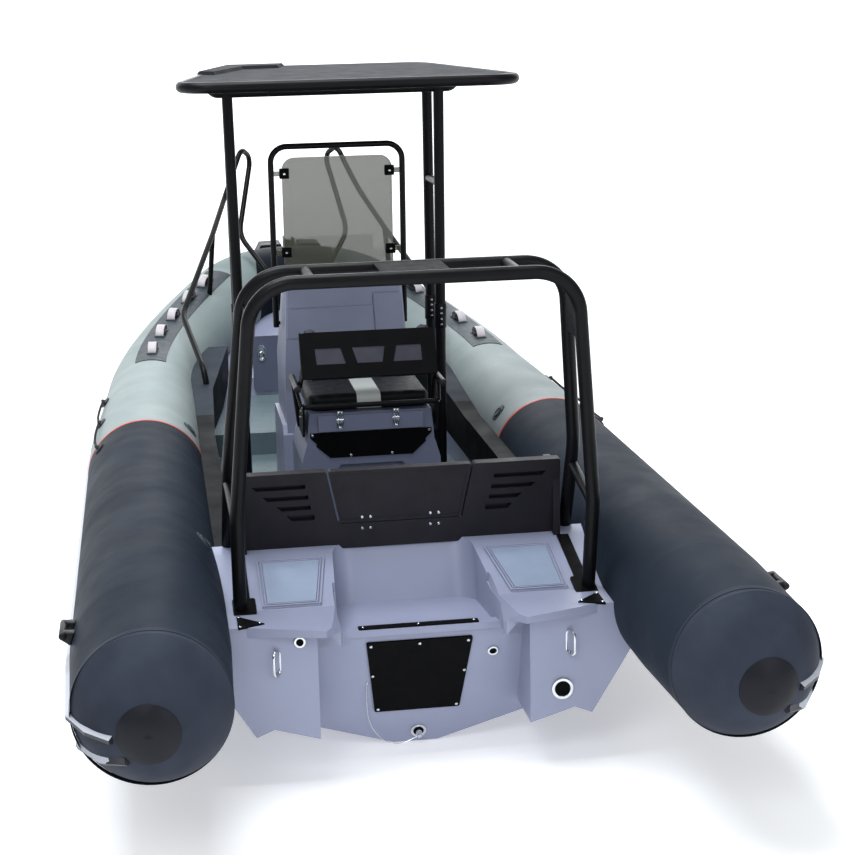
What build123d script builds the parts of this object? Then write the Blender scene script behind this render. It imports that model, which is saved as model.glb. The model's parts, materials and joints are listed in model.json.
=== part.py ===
from build123d import *
import os
from math import cos, radians, sin, sqrt

os.makedirs("parts", exist_ok=True)

# A rigid inflatable boat of about 7 m: a deep-V hull between two air tubes, with a motor well, a helm
# seat and console under a hard top, a stern arch and bow grab rails. Millimetres. X points to
# starboard, Y to the bow and Z up. The origin is on the centreline at the waterline, over the transom.

PIECES = {}


def keep(name, builder):
    """Label a finished piece and remember it for the export at the end."""
    builder.part.label = name
    PIECES[name] = builder.part


# ---- Air tubes -------------------------------------------------------------------------------------

TUBE_R = 272
TUBE_X = 966
TUBE_Z = 252
STERN_TAPER_Y = -380
SEAM_Y = -872
SEAM_R = 256
DOME_SAG = 18
CAP_X = 979
CAP_Y = -1052
CAP_Z = 238
CAP_R = 100
CAP_RISE = 34
CAP_EDGE = 5
STRIPE_Y = 2144
TAPER_Y = 2500
BOW_R = 245

TAPER_START = Vector(TUBE_X, TAPER_Y, TUBE_Z)
SHOULDER = Vector(927, 3590, 297)
QUARTER = Vector(444, 5198, 580)
STEM = Vector(0, 5451, 645)


class Bend:
    """One round stretch of the tube's axis: where it starts, its direction there and where it ends."""

    def __init__(self, start, tangent, outboard, end):
        chord = end - start
        half_turn = tangent.get_angle(chord)
        self.start = start
        self.tangent = tangent
        self.outboard = outboard
        self.normal = tangent.cross(chord).normalized()
        self.turn = 2 * half_turn
        self.radius = chord.length / (2 * sin(radians(half_turn)))
        self.centre = start + self.normal.cross(tangent) * self.radius
        self.axis = Axis(self.centre, self.normal)

    def plane(self, share=0.0):
        """The section's plane at a share of the turn: x outboard, z forward, so y is down."""
        turn = Axis((0, 0, 0), self.normal)
        angle = self.turn * share
        arm = (self.start - self.centre).rotate(turn, angle)
        return Plane(
            origin=self.centre + arm,
            x_dir=self.outboard.rotate(turn, angle),
            z_dir=self.tangent.rotate(turn, angle),
        )


TAPER_DIR = (SHOULDER - TAPER_START).normalized()
OUTBOARD = (Vector(1, 0, 0) - TAPER_DIR * TAPER_DIR.X).normalized()
SIDE_BEND = Bend(SHOULDER, TAPER_DIR, OUTBOARD, QUARTER)
QUARTER_PLANE = SIDE_BEND.plane(1.0)
NOSE_BEND = Bend(QUARTER, QUARTER_PLANE.z_dir, QUARTER_PLANE.x_dir, STEM)


def straight_plane(y):
    """The section's plane on the straight run of the starboard tube."""
    return Plane(origin=(TUBE_X, y, TUBE_Z), x_dir=(1, 0, 0), z_dir=(0, 1, 0))


seam_centre = Vector(TUBE_X, SEAM_Y, TUBE_Z)
cap_centre = Vector(CAP_X, CAP_Y, CAP_Z)
dome_dir = (cap_centre - seam_centre).normalized()
dome_side = (Vector(1, 0, 0) - dome_dir * dome_dir.X).normalized()
seam_plane = Plane(origin=seam_centre, x_dir=dome_side, z_dir=dome_dir)
meridian_plane = Plane(origin=seam_centre, x_dir=dome_side, z_dir=dome_side.cross(dome_dir))
dome_axis = Axis(seam_centre, dome_dir)
dome_depth = (cap_centre - seam_centre).length
dome_chord = Vector(CAP_R - SEAM_R, dome_depth)
dome_bulge = Vector(dome_depth, SEAM_R - CAP_R).normalized() * DOME_SAG
dome_mid = Vector(SEAM_R, 0) + dome_chord * 0.5 + dome_bulge

with BuildPart() as tube_stern_starboard:
    with BuildSketch(straight_plane(STRIPE_Y)):
        Circle(TUBE_R)
    with BuildSketch(straight_plane(STERN_TAPER_Y)):
        Circle(TUBE_R)
    with BuildSketch(Plane(origin=seam_centre, x_dir=dome_side, z_dir=-dome_dir)):
        Circle(SEAM_R)
    loft(ruled=True)
    with BuildSketch(meridian_plane):
        with BuildLine():
            Line((0, 0), (SEAM_R, 0))
            ThreePointArc((SEAM_R, 0), (dome_mid.X, dome_mid.Y), (CAP_R, dome_depth))
            Polyline((CAP_R, dome_depth), (0, dome_depth), (0, 0))
        make_face()
    revolve(axis=dome_axis)
keep("tube_stern_starboard", tube_stern_starboard)

with BuildPart() as tube_stern_port:
    mirror(tube_stern_starboard.part, about=Plane.YZ)
keep("tube_stern_port", tube_stern_port)

cap_ball_r = (CAP_R**2 + (CAP_RISE - CAP_EDGE) ** 2) / (2 * (CAP_RISE - CAP_EDGE))

with BuildPart() as tube_caps:
    with BuildSketch(seam_plane.offset(dome_depth)):
        Circle(CAP_R)
    extrude(amount=CAP_RISE)
    with Locations(seam_plane.offset(dome_depth + CAP_RISE - cap_ball_r)):
        Sphere(cap_ball_r, mode=Mode.INTERSECT)
    add(mirror(tube_caps.part, about=Plane.YZ, mode=Mode.PRIVATE))
keep("tube_caps", tube_caps)

kink_dir = (TAPER_DIR + Vector(0, 1, 0)).normalized()
kink_side = (Vector(1, 0, 0) - kink_dir * kink_dir.X).normalized()

with BuildPart() as tube_mid_starboard:
    with BuildSketch(straight_plane(STRIPE_Y)):
        Circle(TUBE_R)
    with BuildSketch(Plane(origin=TAPER_START, x_dir=kink_side, z_dir=kink_dir)):
        Circle(TUBE_R)
    with BuildSketch(SIDE_BEND.plane()):
        Circle(BOW_R)
    loft(ruled=True)
    with BuildSketch(SIDE_BEND.plane()):
        Circle(BOW_R)
    revolve(axis=SIDE_BEND.axis, revolution_arc=SIDE_BEND.turn)
keep("tube_mid_starboard", tube_mid_starboard)

with BuildPart() as tube_mid_port:
    mirror(tube_mid_starboard.part, about=Plane.YZ)
keep("tube_mid_port", tube_mid_port)

with BuildPart() as tube_bow:
    with BuildSketch(NOSE_BEND.plane()):
        Circle(BOW_R)
    revolve(axis=NOSE_BEND.axis, revolution_arc=NOSE_BEND.turn + 4)
    split(bisect_by=Plane.YZ, keep=Keep.TOP)
    mirror(about=Plane.YZ)
keep("tube_bow", tube_bow)

with BuildPart() as tubes:
    add(tube_stern_starboard.part)
    add(tube_mid_starboard.part)
    add(tube_stern_port.part)
    add(tube_mid_port.part)
    add(tube_bow.part)


# ---- Rub strakes -----------------------------------------------------------------------------------

STRAKES = (
    # degrees below the horizontal: along the tube, half way over the dome, at the cap
    (4, 6, 9),
    (27, 38, 52),
)
STRAKE_T = 20
STRAKE_H = 30
STRAKE_SINK = 4
STRAKE_NOSE_SHARE = 0.62
tube_line = (
    # section plane, tube radius there; all with z forward, so y is down
    (Plane(origin=seam_centre, x_dir=dome_side, z_dir=-dome_dir), SEAM_R),
    (straight_plane(STERN_TAPER_Y), TUBE_R),
    (Plane(origin=TAPER_START, x_dir=kink_side, z_dir=kink_dir), TUBE_R),
    (SIDE_BEND.plane(), BOW_R),
)


def strake_spot(radius, degrees):
    """Where a strake's section sits on a tube section, a little sunk in."""
    reach = radius + STRAKE_T / 2 - STRAKE_SINK
    return Location((reach * cos(radians(degrees)), reach * sin(radians(degrees)), 0), (0, 0, degrees))


def strake_section(plane, radius, degrees):
    with BuildSketch(plane) as section:
        with Locations(strake_spot(radius, degrees)):
            Trapezoid(STRAKE_H, STRAKE_T, 68, rotation=-90)
    return section.sketch


def dome_radial(degrees):
    """The direction out from the dome's middle at an angle below the horizontal."""
    return dome_side * cos(radians(degrees)) + dome_side.cross(dome_dir) * sin(radians(degrees))


with BuildPart() as rub_strakes:
    for degrees, mid_degrees, cap_degrees in STRAKES:
        loft([strake_section(plane, radius, degrees) for plane, radius in tube_line], ruled=True)
        revolve(strake_section(SIDE_BEND.plane(), BOW_R, degrees), SIDE_BEND.axis, SIDE_BEND.turn)
        revolve(
            strake_section(NOSE_BEND.plane(), BOW_R, degrees), NOSE_BEND.axis, NOSE_BEND.turn * STRAKE_NOSE_SHARE
        )
        # over the dome, in two straight runs towards the cap
        stations = [
            (seam_centre + dome_dir * depth + dome_radial(turn) * reach, dome_radial(turn))
            for turn, reach, depth in (
                (degrees, SEAM_R, 0), (mid_degrees, dome_mid.X, dome_mid.Y), (cap_degrees, CAP_R + 12, dome_depth - 8),
            )
        ]
        leans = [stations[1][0] - stations[0][0], stations[2][0] - stations[0][0], stations[2][0] - stations[1][0]]
        runs = []
        for (spot, radial), lean in zip(stations, leans):
            lean = lean.normalized() if spot is not stations[0][0] else (lean.normalized() + dome_dir).normalized()
            across = (radial - lean * radial.dot(lean)).normalized()
            middle = spot + across * (STRAKE_T / 2 - STRAKE_SINK)
            with BuildSketch(Plane(origin=middle, x_dir=across, z_dir=-lean)) as section:
                Trapezoid(STRAKE_H, STRAKE_T, 68, rotation=-90)
            runs.append(section.sketch)
        # the first run starts from the tube's own last section
        runs[0] = strake_section(tube_line[0][0], SEAM_R, degrees)
        loft(runs, ruled=True)
    add(tubes.part, mode=Mode.SUBTRACT)
    add(mirror(rub_strakes.part, about=Plane.YZ, mode=Mode.PRIVATE))
keep("rub_strakes", rub_strakes)

# ---- Hull ------------------------------------------------------------------------------------------

HULL_SECTIONS = (
    # y, keel x, keel z, chine x, chine z, side x, side z, top x, top z
    (-40, 84, -342, 613, -158, 735, 40, 800, 150),
    (2500, 84, -342, 613, -158, 735, 40, 800, 150),
    (3900, 60, -300, 535, -85, 722, 70, 795, 190),
    (4800, 30, -120, 320, 120, 450, 270, 560, 380),
    (5330, 12, 200, 110, 340, 180, 420, 260, 560),
)
STERN_TOP = 150
SOLE_Z = 50
FORE_SOLE_Z = 170
SOLE_T = 20
STEP_Y = 3300
COCKPIT_AFT = 470
COCKPIT_FORE = 4300
COCKPIT_PLAN = ((0, COCKPIT_AFT), (630, COCKPIT_AFT), (630, 2500), (604, 3400), (480, COCKPIT_FORE), (0, COCKPIT_FORE))
POD_AFT = -172
POD_SECTION = ((384, -180), (548, -132), (613, -158), (735, 40), (800, 150), (384, 150))
TRANSOM_TOP_Y = -52
TRANSOM_FOOT_Y = 140
KEEL_Z = -342
LOCKER_HALF = 326
LOCKER_LOW = 205
LOCKER_TOP = 510
LOCKER_DEEP = 400

with BuildPart() as cockpit:
    with BuildSketch(Plane.XY.offset(SOLE_Z - SOLE_T)):
        with BuildLine():
            Polyline(*COCKPIT_PLAN, close=True)
        make_face()
        mirror(about=Plane.YZ)
    extrude(amount=900)

with BuildPart() as locker:
    with BuildSketch(Plane.XZ.offset(-COCKPIT_FORE)):
        with Locations((0, (LOCKER_LOW + LOCKER_TOP) / 2)):
            Rectangle(2 * LOCKER_HALF, LOCKER_TOP - LOCKER_LOW)
    extrude(amount=-LOCKER_DEEP)

with BuildPart() as hull:
    for y, kx, kz, cx, cz, sx, sz, tx, tz in HULL_SECTIONS:
        with BuildSketch(Plane.XZ.offset(-y)):
            with BuildLine():
                Polyline((0, kz), (kx, kz), (cx, cz), (sx, sz), (tx, tz), (0, tz), close=True)
            make_face()
    loft(ruled=True)
    with BuildSketch(Plane.YZ):
        with BuildLine():
            Polyline(
                (-200, STERN_TOP + 20),
                (TRANSOM_TOP_Y, STERN_TOP + 20),
                (TRANSOM_TOP_Y, STERN_TOP),
                (TRANSOM_FOOT_Y, KEEL_Z),
                (-200, KEEL_Z),
                close=True,
            )
        make_face()
    extrude(amount=900, both=True, mode=Mode.SUBTRACT)
    with BuildSketch(Plane.XZ.offset(-POD_AFT)):
        with BuildLine():
            Polyline(*POD_SECTION, close=True)
        make_face()
    extrude(amount=POD_AFT - 60)
    mirror(about=Plane.YZ)
    for piece in (cockpit, locker, tubes):
        add(piece.part, mode=Mode.SUBTRACT)
keep("hull", hull)

with BuildPart() as sole:
    for z, aft, fore in ((SOLE_Z, COCKPIT_AFT, STEP_Y), (FORE_SOLE_Z, STEP_Y, COCKPIT_FORE)):
        with BuildSketch(Plane.XY.offset(SOLE_Z - SOLE_T)):
            with Locations((0, (aft + fore) / 2)):
                Rectangle(1600, fore - aft)
        extrude(amount=z - SOLE_Z + SOLE_T)
    add(cockpit.part, mode=Mode.INTERSECT)
keep("sole", sole)

# ---- Aft deck and motor well -----------------------------------------------------------------------

DECK_PROFILE = (
    (POD_AFT, STERN_TOP),
    (POD_AFT, 222),
    (-262, 230),
    (-262, 255),
    (-8, 263),
    (400, 362),
    (COCKPIT_AFT, 375),
    (COCKPIT_AFT, STERN_TOP),
)
DECK_PLAN = (
    (0, TRANSOM_TOP_Y), (222, TRANSOM_TOP_Y), (284, -147), (357, -262), (633, POD_AFT), (900, POD_AFT),
    (900, COCKPIT_AFT), (0, COCKPIT_AFT),
)
WELL_PLAN = ((266, 0), (300, -443), (284, -590), (284, -843), (0, -843), (0, 0))
WELL_CORNER = 85
WELL_RIM = (443, 376)
WELL_FOOT_Y = 345
LIP_UNDER = ((200, 100), (200, 146), (284, 146), (357, 227), (384, 227), (384, 100))
WELL_FLARE = (
    # y, low x, low z, high x, high z
    (-300, 284, 174, 360, 266),
    (150, 292, 268, 296, 310),
)
SILL_TOP = 174
PAD_PLAN = ((296, 350), (572, 350), (572, 4), (344, 4))
PAD_RISE = 9
deck_slope = Vector(0, 408, 99).normalized()
deck_plane = Plane(origin=(0, -8, 263), x_dir=(1, 0, 0), z_dir=Vector(1, 0, 0).cross(deck_slope))

with BuildPart() as well:
    # the front wall and its round corners lean forward to the rim
    with BuildSketch(Plane.XY.offset(STERN_TOP)) as well_plan:
        with BuildLine():
            Polyline(*[(x, WELL_FOOT_Y + behind) for x, behind in WELL_PLAN], close=True)
        make_face()
        fillet(well_plan.vertices().group_by(Axis.Y)[-1].sort_by(Axis.X)[-1], WELL_CORNER)
        mirror(about=Plane.YZ)
    well_lean = Vector(0, WELL_RIM[0] - WELL_FOOT_Y, WELL_RIM[1] - STERN_TOP)
    extrude(amount=well_lean.length * 1.6, dir=well_lean.normalized())
    for side in (1, -1):
        flare = []
        for y, low_x, low_z, high_x, high_z in WELL_FLARE:
            with BuildSketch(Plane.XZ.offset(-y)) as section:
                with BuildLine():
                    Polyline(
                        (side * low_x, low_z), (side * high_x, high_z), (side * high_x, 400),
                        (side * 200, 400), (side * 200, low_z), close=True,
                    )
                make_face()
            flare.append(section.sketch)
        loft(flare, ruled=True)

with BuildPart() as aft_deck:
    with BuildSketch(Plane.YZ):
        with BuildLine():
            Polyline(*DECK_PROFILE, close=True)
        make_face()
    extrude(amount=900)
    with BuildSketch(Plane.XY.offset(STERN_TOP)):
        with BuildLine():
            Polyline(*DECK_PLAN, close=True)
        make_face()
    extrude(amount=400, mode=Mode.INTERSECT)
    with BuildSketch(deck_plane):
        with BuildLine():
            Polyline(*PAD_PLAN, close=True)
        make_face()
    extrude(amount=PAD_RISE, taper=30)
    with BuildSketch(Plane.XZ.offset(-TRANSOM_TOP_Y)):
        with BuildLine():
            Polyline(*LIP_UNDER, close=True)
        make_face()
    extrude(amount=400, mode=Mode.SUBTRACT)
    mirror(about=Plane.YZ)
    add(well.part, mode=Mode.SUBTRACT)
    with BuildSketch(Plane.YZ):
        with BuildLine():
            Polyline(
                (TRANSOM_TOP_Y, STERN_TOP), (TRANSOM_TOP_Y + 4, SILL_TOP), (4, SILL_TOP), (22, STERN_TOP),
                close=True,
            )
        make_face()
    extrude(amount=299, both=True)
    add(tubes.part, mode=Mode.SUBTRACT)
keep("aft_deck", aft_deck)

with BuildPart() as sill_strip:
    with BuildSketch(Plane.XY.offset(SILL_TOP)):
        with Locations((0, (TRANSOM_TOP_Y + 4) / 2)):
            RectangleRounded(444, 40, 6)
    extrude(amount=4)
keep("sill_strip", sill_strip)

# ---- Side coamings ---------------------------------------------------------------------------------

COAMING_Z = 348
COAMING_FORE_Z = 470

with BuildPart() as coamings:
    with BuildSketch(Plane.XY.offset(SOLE_Z)):
        with BuildLine():
            Polyline(
                (630, COCKPIT_AFT), (630, 2500), (604, 3400), (480, COCKPIT_FORE), (700, COCKPIT_FORE),
                (900, 3400), (900, COCKPIT_AFT), close=True,
            )
        make_face()
    extrude(amount=900)
    with BuildSketch(Plane.YZ):
        with BuildLine():
            Polyline(
                (COCKPIT_AFT, 0), (COCKPIT_AFT, COAMING_Z), (2600, COAMING_Z), (COCKPIT_FORE, COAMING_FORE_Z),
                (COCKPIT_FORE, 0), close=True,
            )
        make_face()
    extrude(amount=1000, mode=Mode.INTERSECT)
    add(hull.part, mode=Mode.SUBTRACT)
    add(tubes.part, mode=Mode.SUBTRACT)
with BuildPart() as coaming_pair:
    add(coamings.part.solids().sort_by(SortBy.VOLUME)[-1])
    add(mirror(coaming_pair.part, about=Plane.YZ, mode=Mode.PRIVATE))
keep("coamings", coaming_pair)

# ---- Engine mounting plate -------------------------------------------------------------------------

transom_slope = (TRANSOM_FOOT_Y - TRANSOM_TOP_Y) / (STERN_TOP - KEEL_Z)
PLATE_TOP = 127
PLATE_FOOT = -187
PLATE_TOP_HALF = 197
PLATE_FOOT_HALF = 160
PLATE_T = 8
plate_rake = Vector(0, transom_slope, -1).normalized()
plate_top_y = TRANSOM_TOP_Y + (STERN_TOP - PLATE_TOP) * transom_slope
plate_length = (PLATE_TOP - PLATE_FOOT) / abs(plate_rake.Z)
plate_mid = Vector(0, plate_top_y, PLATE_TOP) + plate_rake * (plate_length / 2)
transom_plane = Plane(origin=plate_mid, x_dir=(1, 0, 0), z_dir=plate_rake.cross(Vector(1, 0, 0)))

with BuildPart() as engine_plate:
    with BuildSketch(transom_plane) as plate_face:
        with BuildLine():
            Polyline(
                (-PLATE_TOP_HALF, plate_length / 2), (PLATE_TOP_HALF, plate_length / 2),
                (PLATE_FOOT_HALF, -plate_length / 2), (-PLATE_FOOT_HALF, -plate_length / 2), close=True,
            )
        make_face()
        fillet(plate_face.vertices(), 8)
    extrude(amount=PLATE_T)
keep("engine_plate", engine_plate)

# ---- Aft panel and its folding gate ----------------------------------------------------------------

PANEL_BASE_Y = 420
PANEL_BASE_Z = 370
PANEL_TOP_Y = 374
PANEL_TOP_Z = 668
PANEL_T = 36
PANEL_HALF = 622
PANEL_SILL_Z = 452
GAP_TOP = 283
GAP_BASE = 240
GATE_CLEAR = 3
GATE_SIDE_CLEAR = 7
GATE_TOP = GAP_TOP - GATE_SIDE_CLEAR
GATE_BASE = GAP_BASE - GATE_SIDE_CLEAR
GATE_T = 30
LOUVRES = (
    # inner x, middle z, length, height
    (363, 613, 205, 18),
    (352, 569, 174, 18),
    (344, 527, 130, 18),
    (330, 486, 106, 22),
)
LOUVRE_SLANT = 18
LOUVRE_DEEP = 24
panel_length = sqrt((PANEL_BASE_Y - PANEL_TOP_Y) ** 2 + (PANEL_TOP_Z - PANEL_BASE_Z) ** 2)
panel_up = Vector(0, PANEL_TOP_Y - PANEL_BASE_Y, PANEL_TOP_Z - PANEL_BASE_Z).normalized()
panel_plane = Plane(
    origin=(0, PANEL_BASE_Y, PANEL_BASE_Z), x_dir=(1, 0, 0), z_dir=Vector(1, 0, 0).cross(panel_up)
)


def up_panel(z):
    """A height above the waterline as a distance up the leaning panel."""
    return panel_length * (z - PANEL_BASE_Z) / (PANEL_TOP_Z - PANEL_BASE_Z)


with BuildPart() as aft_panel:
    with BuildSketch(panel_plane) as panel_face:
        with BuildLine():
            Polyline(
                (0, -20), (PANEL_HALF, -20), (PANEL_HALF, panel_length), (GAP_TOP, panel_length),
                (GAP_BASE, up_panel(PANEL_SILL_Z)), (0, up_panel(PANEL_SILL_Z)), close=True,
            )
        make_face()
        fillet(panel_face.vertices().group_by(Axis.Y)[-1], 12)
    extrude(amount=-PANEL_T)
    with BuildSketch(panel_plane):
        for x, z, long, high in LOUVRES:
            low, top = up_panel(z) - high / 2, up_panel(z) + high / 2
            with BuildLine():
                Polyline((x, low), (x + long - LOUVRE_SLANT, low), (x + long, top), (x, top), close=True)
            make_face()
    extrude(amount=-LOUVRE_DEEP, mode=Mode.SUBTRACT)
    with BuildSketch(Plane.XY.offset(PANEL_BASE_Z - 30)):
        with Locations(((PANEL_HALF - 14), PANEL_BASE_Y + 62)):
            Rectangle(28, 190)
    extrude(amount=PANEL_TOP_Z - PANEL_BASE_Z)
    mirror(about=Plane.YZ)
    add(aft_deck.part, mode=Mode.SUBTRACT)
    add(coaming_pair.part, mode=Mode.SUBTRACT)
    add(tubes.part, mode=Mode.SUBTRACT)
keep("aft_panel", aft_panel)

with BuildPart() as gate:
    with BuildSketch(panel_plane) as gate_face:
        with BuildLine():
            Polyline(
                (-GATE_BASE, up_panel(PANEL_SILL_Z) + GATE_CLEAR), (GATE_BASE, up_panel(PANEL_SILL_Z) + GATE_CLEAR),
                (GATE_TOP, panel_length), (-GATE_TOP, panel_length), close=True,
            )
        make_face()
        fillet(gate_face.vertices().group_by(Axis.Y)[-1], 10)
    extrude(amount=-GATE_T)
keep("gate", gate)

# ---- Stern arch ------------------------------------------------------------------------------------

ARCH_R = 25
REAR_HOOP = (
    # x, y, z, bend radius
    (643, 13, 262, 0),
    (645, -65, 620, 300),
    (566, -176, 1473, 165),
)
FORE_HOOP = (
    (661, 500, 340, 0),
    (650, 272, 760, 400),
    (574, 70, 1476, 165),
)
ARCH_CROSS_X = 360
ARCH_WEB = ((588, -138, 1215), (590, 135, 1240), (582, 100, 1370), (578, -155, 1350))


def pipe_route(points):
    """A pipe's corners out to port of a row of starboard corners, with the bend radii between."""
    corners = [(x, y, z) for x, y, z, r in points]
    corners += [(-x, y, z) for x, y, z, r in reversed(points)]
    radii = [r for x, y, z, r in points[1:]]
    return corners, radii + radii[::-1]


def pipe(corners, radii, radius):
    """Add a round pipe along straight runs joined by bends to the part being built."""
    with BuildLine() as route:
        FilletPolyline(*corners, radius=radii) if radii else Line(*corners)
    with BuildSketch(Plane(origin=route.line @ 0, z_dir=route.line % 0)) as section:
        Circle(radius)
    sweep(sections=section.sketch, path=route.line)


with BuildPart() as arch:
    for hoop in (REAR_HOOP, FORE_HOOP):
        pipe(*pipe_route(hoop), ARCH_R)
    for side in (1, -1):
        pipe([(side * ARCH_CROSS_X, -176, 1473), (side * ARCH_CROSS_X, 70, 1476)], [], 20)
        pipe([(side * 655, 310, 660), (side * 645, -60, 600)], [], 19)
        # the web plate between the legs, below the bend
        with BuildSketch(Plane(origin=(side * 586, 0, 1290), x_dir=(0, 1, 0), z_dir=(side, 0, 0.09))):
            Rectangle(250, 150)
        extrude(amount=4, both=True)
    add(aft_deck.part, mode=Mode.SUBTRACT)
    add(coaming_pair.part, mode=Mode.SUBTRACT)
keep("arch", arch)

with BuildPart() as arch_feet:
    # a foot under each rear leg and a strap along the deck's side to the fore leg's foot
    with BuildSketch(deck_plane):
        with Locations((628, 22)):
            RectangleRounded(84, 120, 12)
        with Locations((628, 235)):
            Rectangle(46, 330)
    extrude(amount=7)
    with BuildSketch(Plane.XY.offset(COAMING_Z)):
        with Locations((662, 505)):
            RectangleRounded(62, 68, 10)
    extrude(amount=7)
    mirror(about=Plane.YZ)
    for piece in (arch, aft_deck, aft_panel, coaming_pair, tubes):
        add(piece.part, mode=Mode.SUBTRACT)
keep("arch_feet", arch_feet)

with BuildPart() as light_plate:
    with BuildSketch(Plane.XY.offset(1492)):
        with Locations((0, -53)):
            Rectangle(240, 232)
    extrude(amount=6)
    add(arch.part, mode=Mode.SUBTRACT)
with BuildPart() as light_plate_one:
    add(light_plate.part.solids().sort_by(SortBy.VOLUME)[-1])
keep("light_plate", light_plate_one)

# ---- Hard top --------------------------------------------------------------------------------------

TOP_R = 24
TOP_Z = 2058
TOP_AFT = 1606
TOP_FORE = 2930
TOP_AFT_HALF = 752
TOP_FORE_HALF = 500
TOP_CORNER = 130
TOP_RISE = 22
ROOF_T = 22
LEG_R = 25
LEGS = (
    # x at the foot, x at the top, y at the foot, y at the top
    (482, 500, 2470, 2440),
    (482, 488, 2740, 2730),
)
LEG_FOOT_Z = SOLE_Z - 10
LEG_TOP_Z = 1995
BRACE_R = 20
BRACES_Z = (1545, 420)
TOP_CROSS_Z = 1998
HUMP_PLAN = ((190, 1306), (480, 1290), (640, 700), (560, 620), (400, 1080), (230, 1120))
HUMP_RISE = 15
top_corners = [
    (TOP_AFT_HALF, TOP_AFT, TOP_Z), (TOP_FORE_HALF, TOP_FORE, TOP_Z + TOP_RISE),
    (-TOP_FORE_HALF, TOP_FORE, TOP_Z + TOP_RISE), (-TOP_AFT_HALF, TOP_AFT, TOP_Z),
]
roof_plane = Plane(
    origin=(0, TOP_AFT, TOP_Z), x_dir=(1, 0, 0), z_dir=Vector(0, -TOP_RISE, TOP_FORE - TOP_AFT).normalized()
)



def leg_at(leg, z, side):
    """The centre of one leg at a height."""
    x_foot, x_top, y_foot, y_top = leg
    share = (z - LEG_FOOT_Z) / (LEG_TOP_Z - LEG_FOOT_Z)
    return (side * (x_foot + (x_top - x_foot) * share), y_foot + (y_top - y_foot) * share, z)


with BuildPart() as top_frame:
    with BuildLine() as loop:
        FilletPolyline(*top_corners, radius=TOP_CORNER, close=True)
    with BuildSketch(Plane(origin=loop.line @ 0, z_dir=loop.line % 0)) as section:
        Circle(TOP_R)
    sweep(sections=section.sketch, path=loop.line)
    for leg in LEGS:
        x_top, y_top = leg[1], leg[3]
        for side in (1, -1):
            pipe([leg_at(leg, LEG_FOOT_Z, side), leg_at(leg, LEG_TOP_Z, side)], [], LEG_R)
        # a dipped cross tube joins the two legs' heads to the rim
        share = (y_top - TOP_AFT) / (TOP_FORE - TOP_AFT)
        half = TOP_AFT_HALF + (TOP_FORE_HALF - TOP_AFT_HALF) * share
        rim_z = TOP_Z + TOP_RISE * share
        dip = x_top + 70
        pipe(
            [(half, y_top, rim_z), (dip, y_top, TOP_CROSS_Z), (-dip, y_top, TOP_CROSS_Z), (-half, y_top, rim_z)],
            [40, 40], TOP_R - 2,
        )
    for side in (1, -1):
        for z in BRACES_Z:
            pipe([leg_at(LEGS[0], z, side), leg_at(LEGS[1], z, side)], [], BRACE_R)
    add(sole.part, mode=Mode.SUBTRACT)
    add(hull.part, mode=Mode.SUBTRACT)
keep("top_frame", top_frame)

with BuildPart() as leg_feet:
    with BuildSketch(Plane.XY.offset(SOLE_Z)):
        for x_foot, x_top, y_foot, y_top in LEGS:
            for side in (1, -1):
                with Locations((side * x_foot, y_foot)):
                    RectangleRounded(100, 110, 12)
    extrude(amount=8)
    add(top_frame.part, mode=Mode.SUBTRACT)
keep("leg_feet", leg_feet)

with BuildPart() as roof:
    with BuildSketch(roof_plane) as roof_outline:
        with BuildLine():
            Polyline(
                (TOP_AFT_HALF - 10, 4), (TOP_FORE_HALF - 6, TOP_FORE - TOP_AFT - 4),
                (-TOP_FORE_HALF + 6, TOP_FORE - TOP_AFT - 4), (-TOP_AFT_HALF + 10, 4), close=True,
            )
        make_face()
        fillet(roof_outline.vertices(), TOP_CORNER)
    extrude(amount=ROOF_T)
    with BuildSketch(roof_plane.offset(ROOF_T)):
        for side in (1, -1):
            with BuildLine():
                Polyline(*[(side * x, y) for x, y in HUMP_PLAN], close=True)
            make_face()
    extrude(amount=HUMP_RISE, taper=35)
    add(top_frame.part, mode=Mode.SUBTRACT)
with BuildPart() as roof_one:
    add(roof.part.solids().sort_by(SortBy.VOLUME)[-1])
keep("roof", roof_one)

# ---- Console, dash, screen and wheel ---------------------------------------------------------------

CONSOLE_HALF = 292
CONSOLE_LEAN = 18
CONSOLE_SIDE = (
    (2240, SOLE_Z), (2262, 600), (2225, 860), (2255, 1115), (2470, 1118), (2800, 700), (2830, SOLE_Z)
)
PLINTH_HALF = 312
PLINTH_SIDE = ((2226, SOLE_Z), (2246, 390), (2290, 430), (2842, 430), (2862, SOLE_Z))
DASH_PANELS = (
    # corners on the sloping face: x and height above its foot
    ((-268, 134), (130, 137), (130, 194), (262, 194), (260, 234), (-264, 234)),
    ((-276, -8), (138, -8), (132, 128), (-270, 124)),
    ((144, -8), (276, -8), (268, 187), (136, 187), (138, 128)),
)
DASH_T = 10

with BuildPart() as console:
    for half, profile in ((CONSOLE_HALF, CONSOLE_SIDE), (PLINTH_HALF, PLINTH_SIDE)):
        with BuildSketch(Plane.YZ):
            with BuildLine():
                Polyline(*profile, close=True)
            make_face()
            fillet(vertices().group_by(Axis.Y)[-1], 30)
        extrude(amount=half, both=True)
    # the sides lean in towards the top
    with BuildSketch(Plane.XZ):
        for side in (1, -1):
            with BuildLine():
                Polyline(
                    (side * CONSOLE_HALF, 700), (side * (CONSOLE_HALF + 90), 700), (side * (CONSOLE_HALF + 90), 1300),
                    (side * (CONSOLE_HALF - CONSOLE_LEAN * 600 / 420), 1300), close=True,
                )
            make_face()
    extrude(amount=-3000, mode=Mode.SUBTRACT)
keep("console", console)

dash_up = Vector(0, 2255 - 2225, 1115 - 860).normalized()
dash_plane = Plane(origin=(0, 2225, 860), x_dir=(1, 0, 0), z_dir=Vector(1, 0, 0).cross(dash_up))

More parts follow.
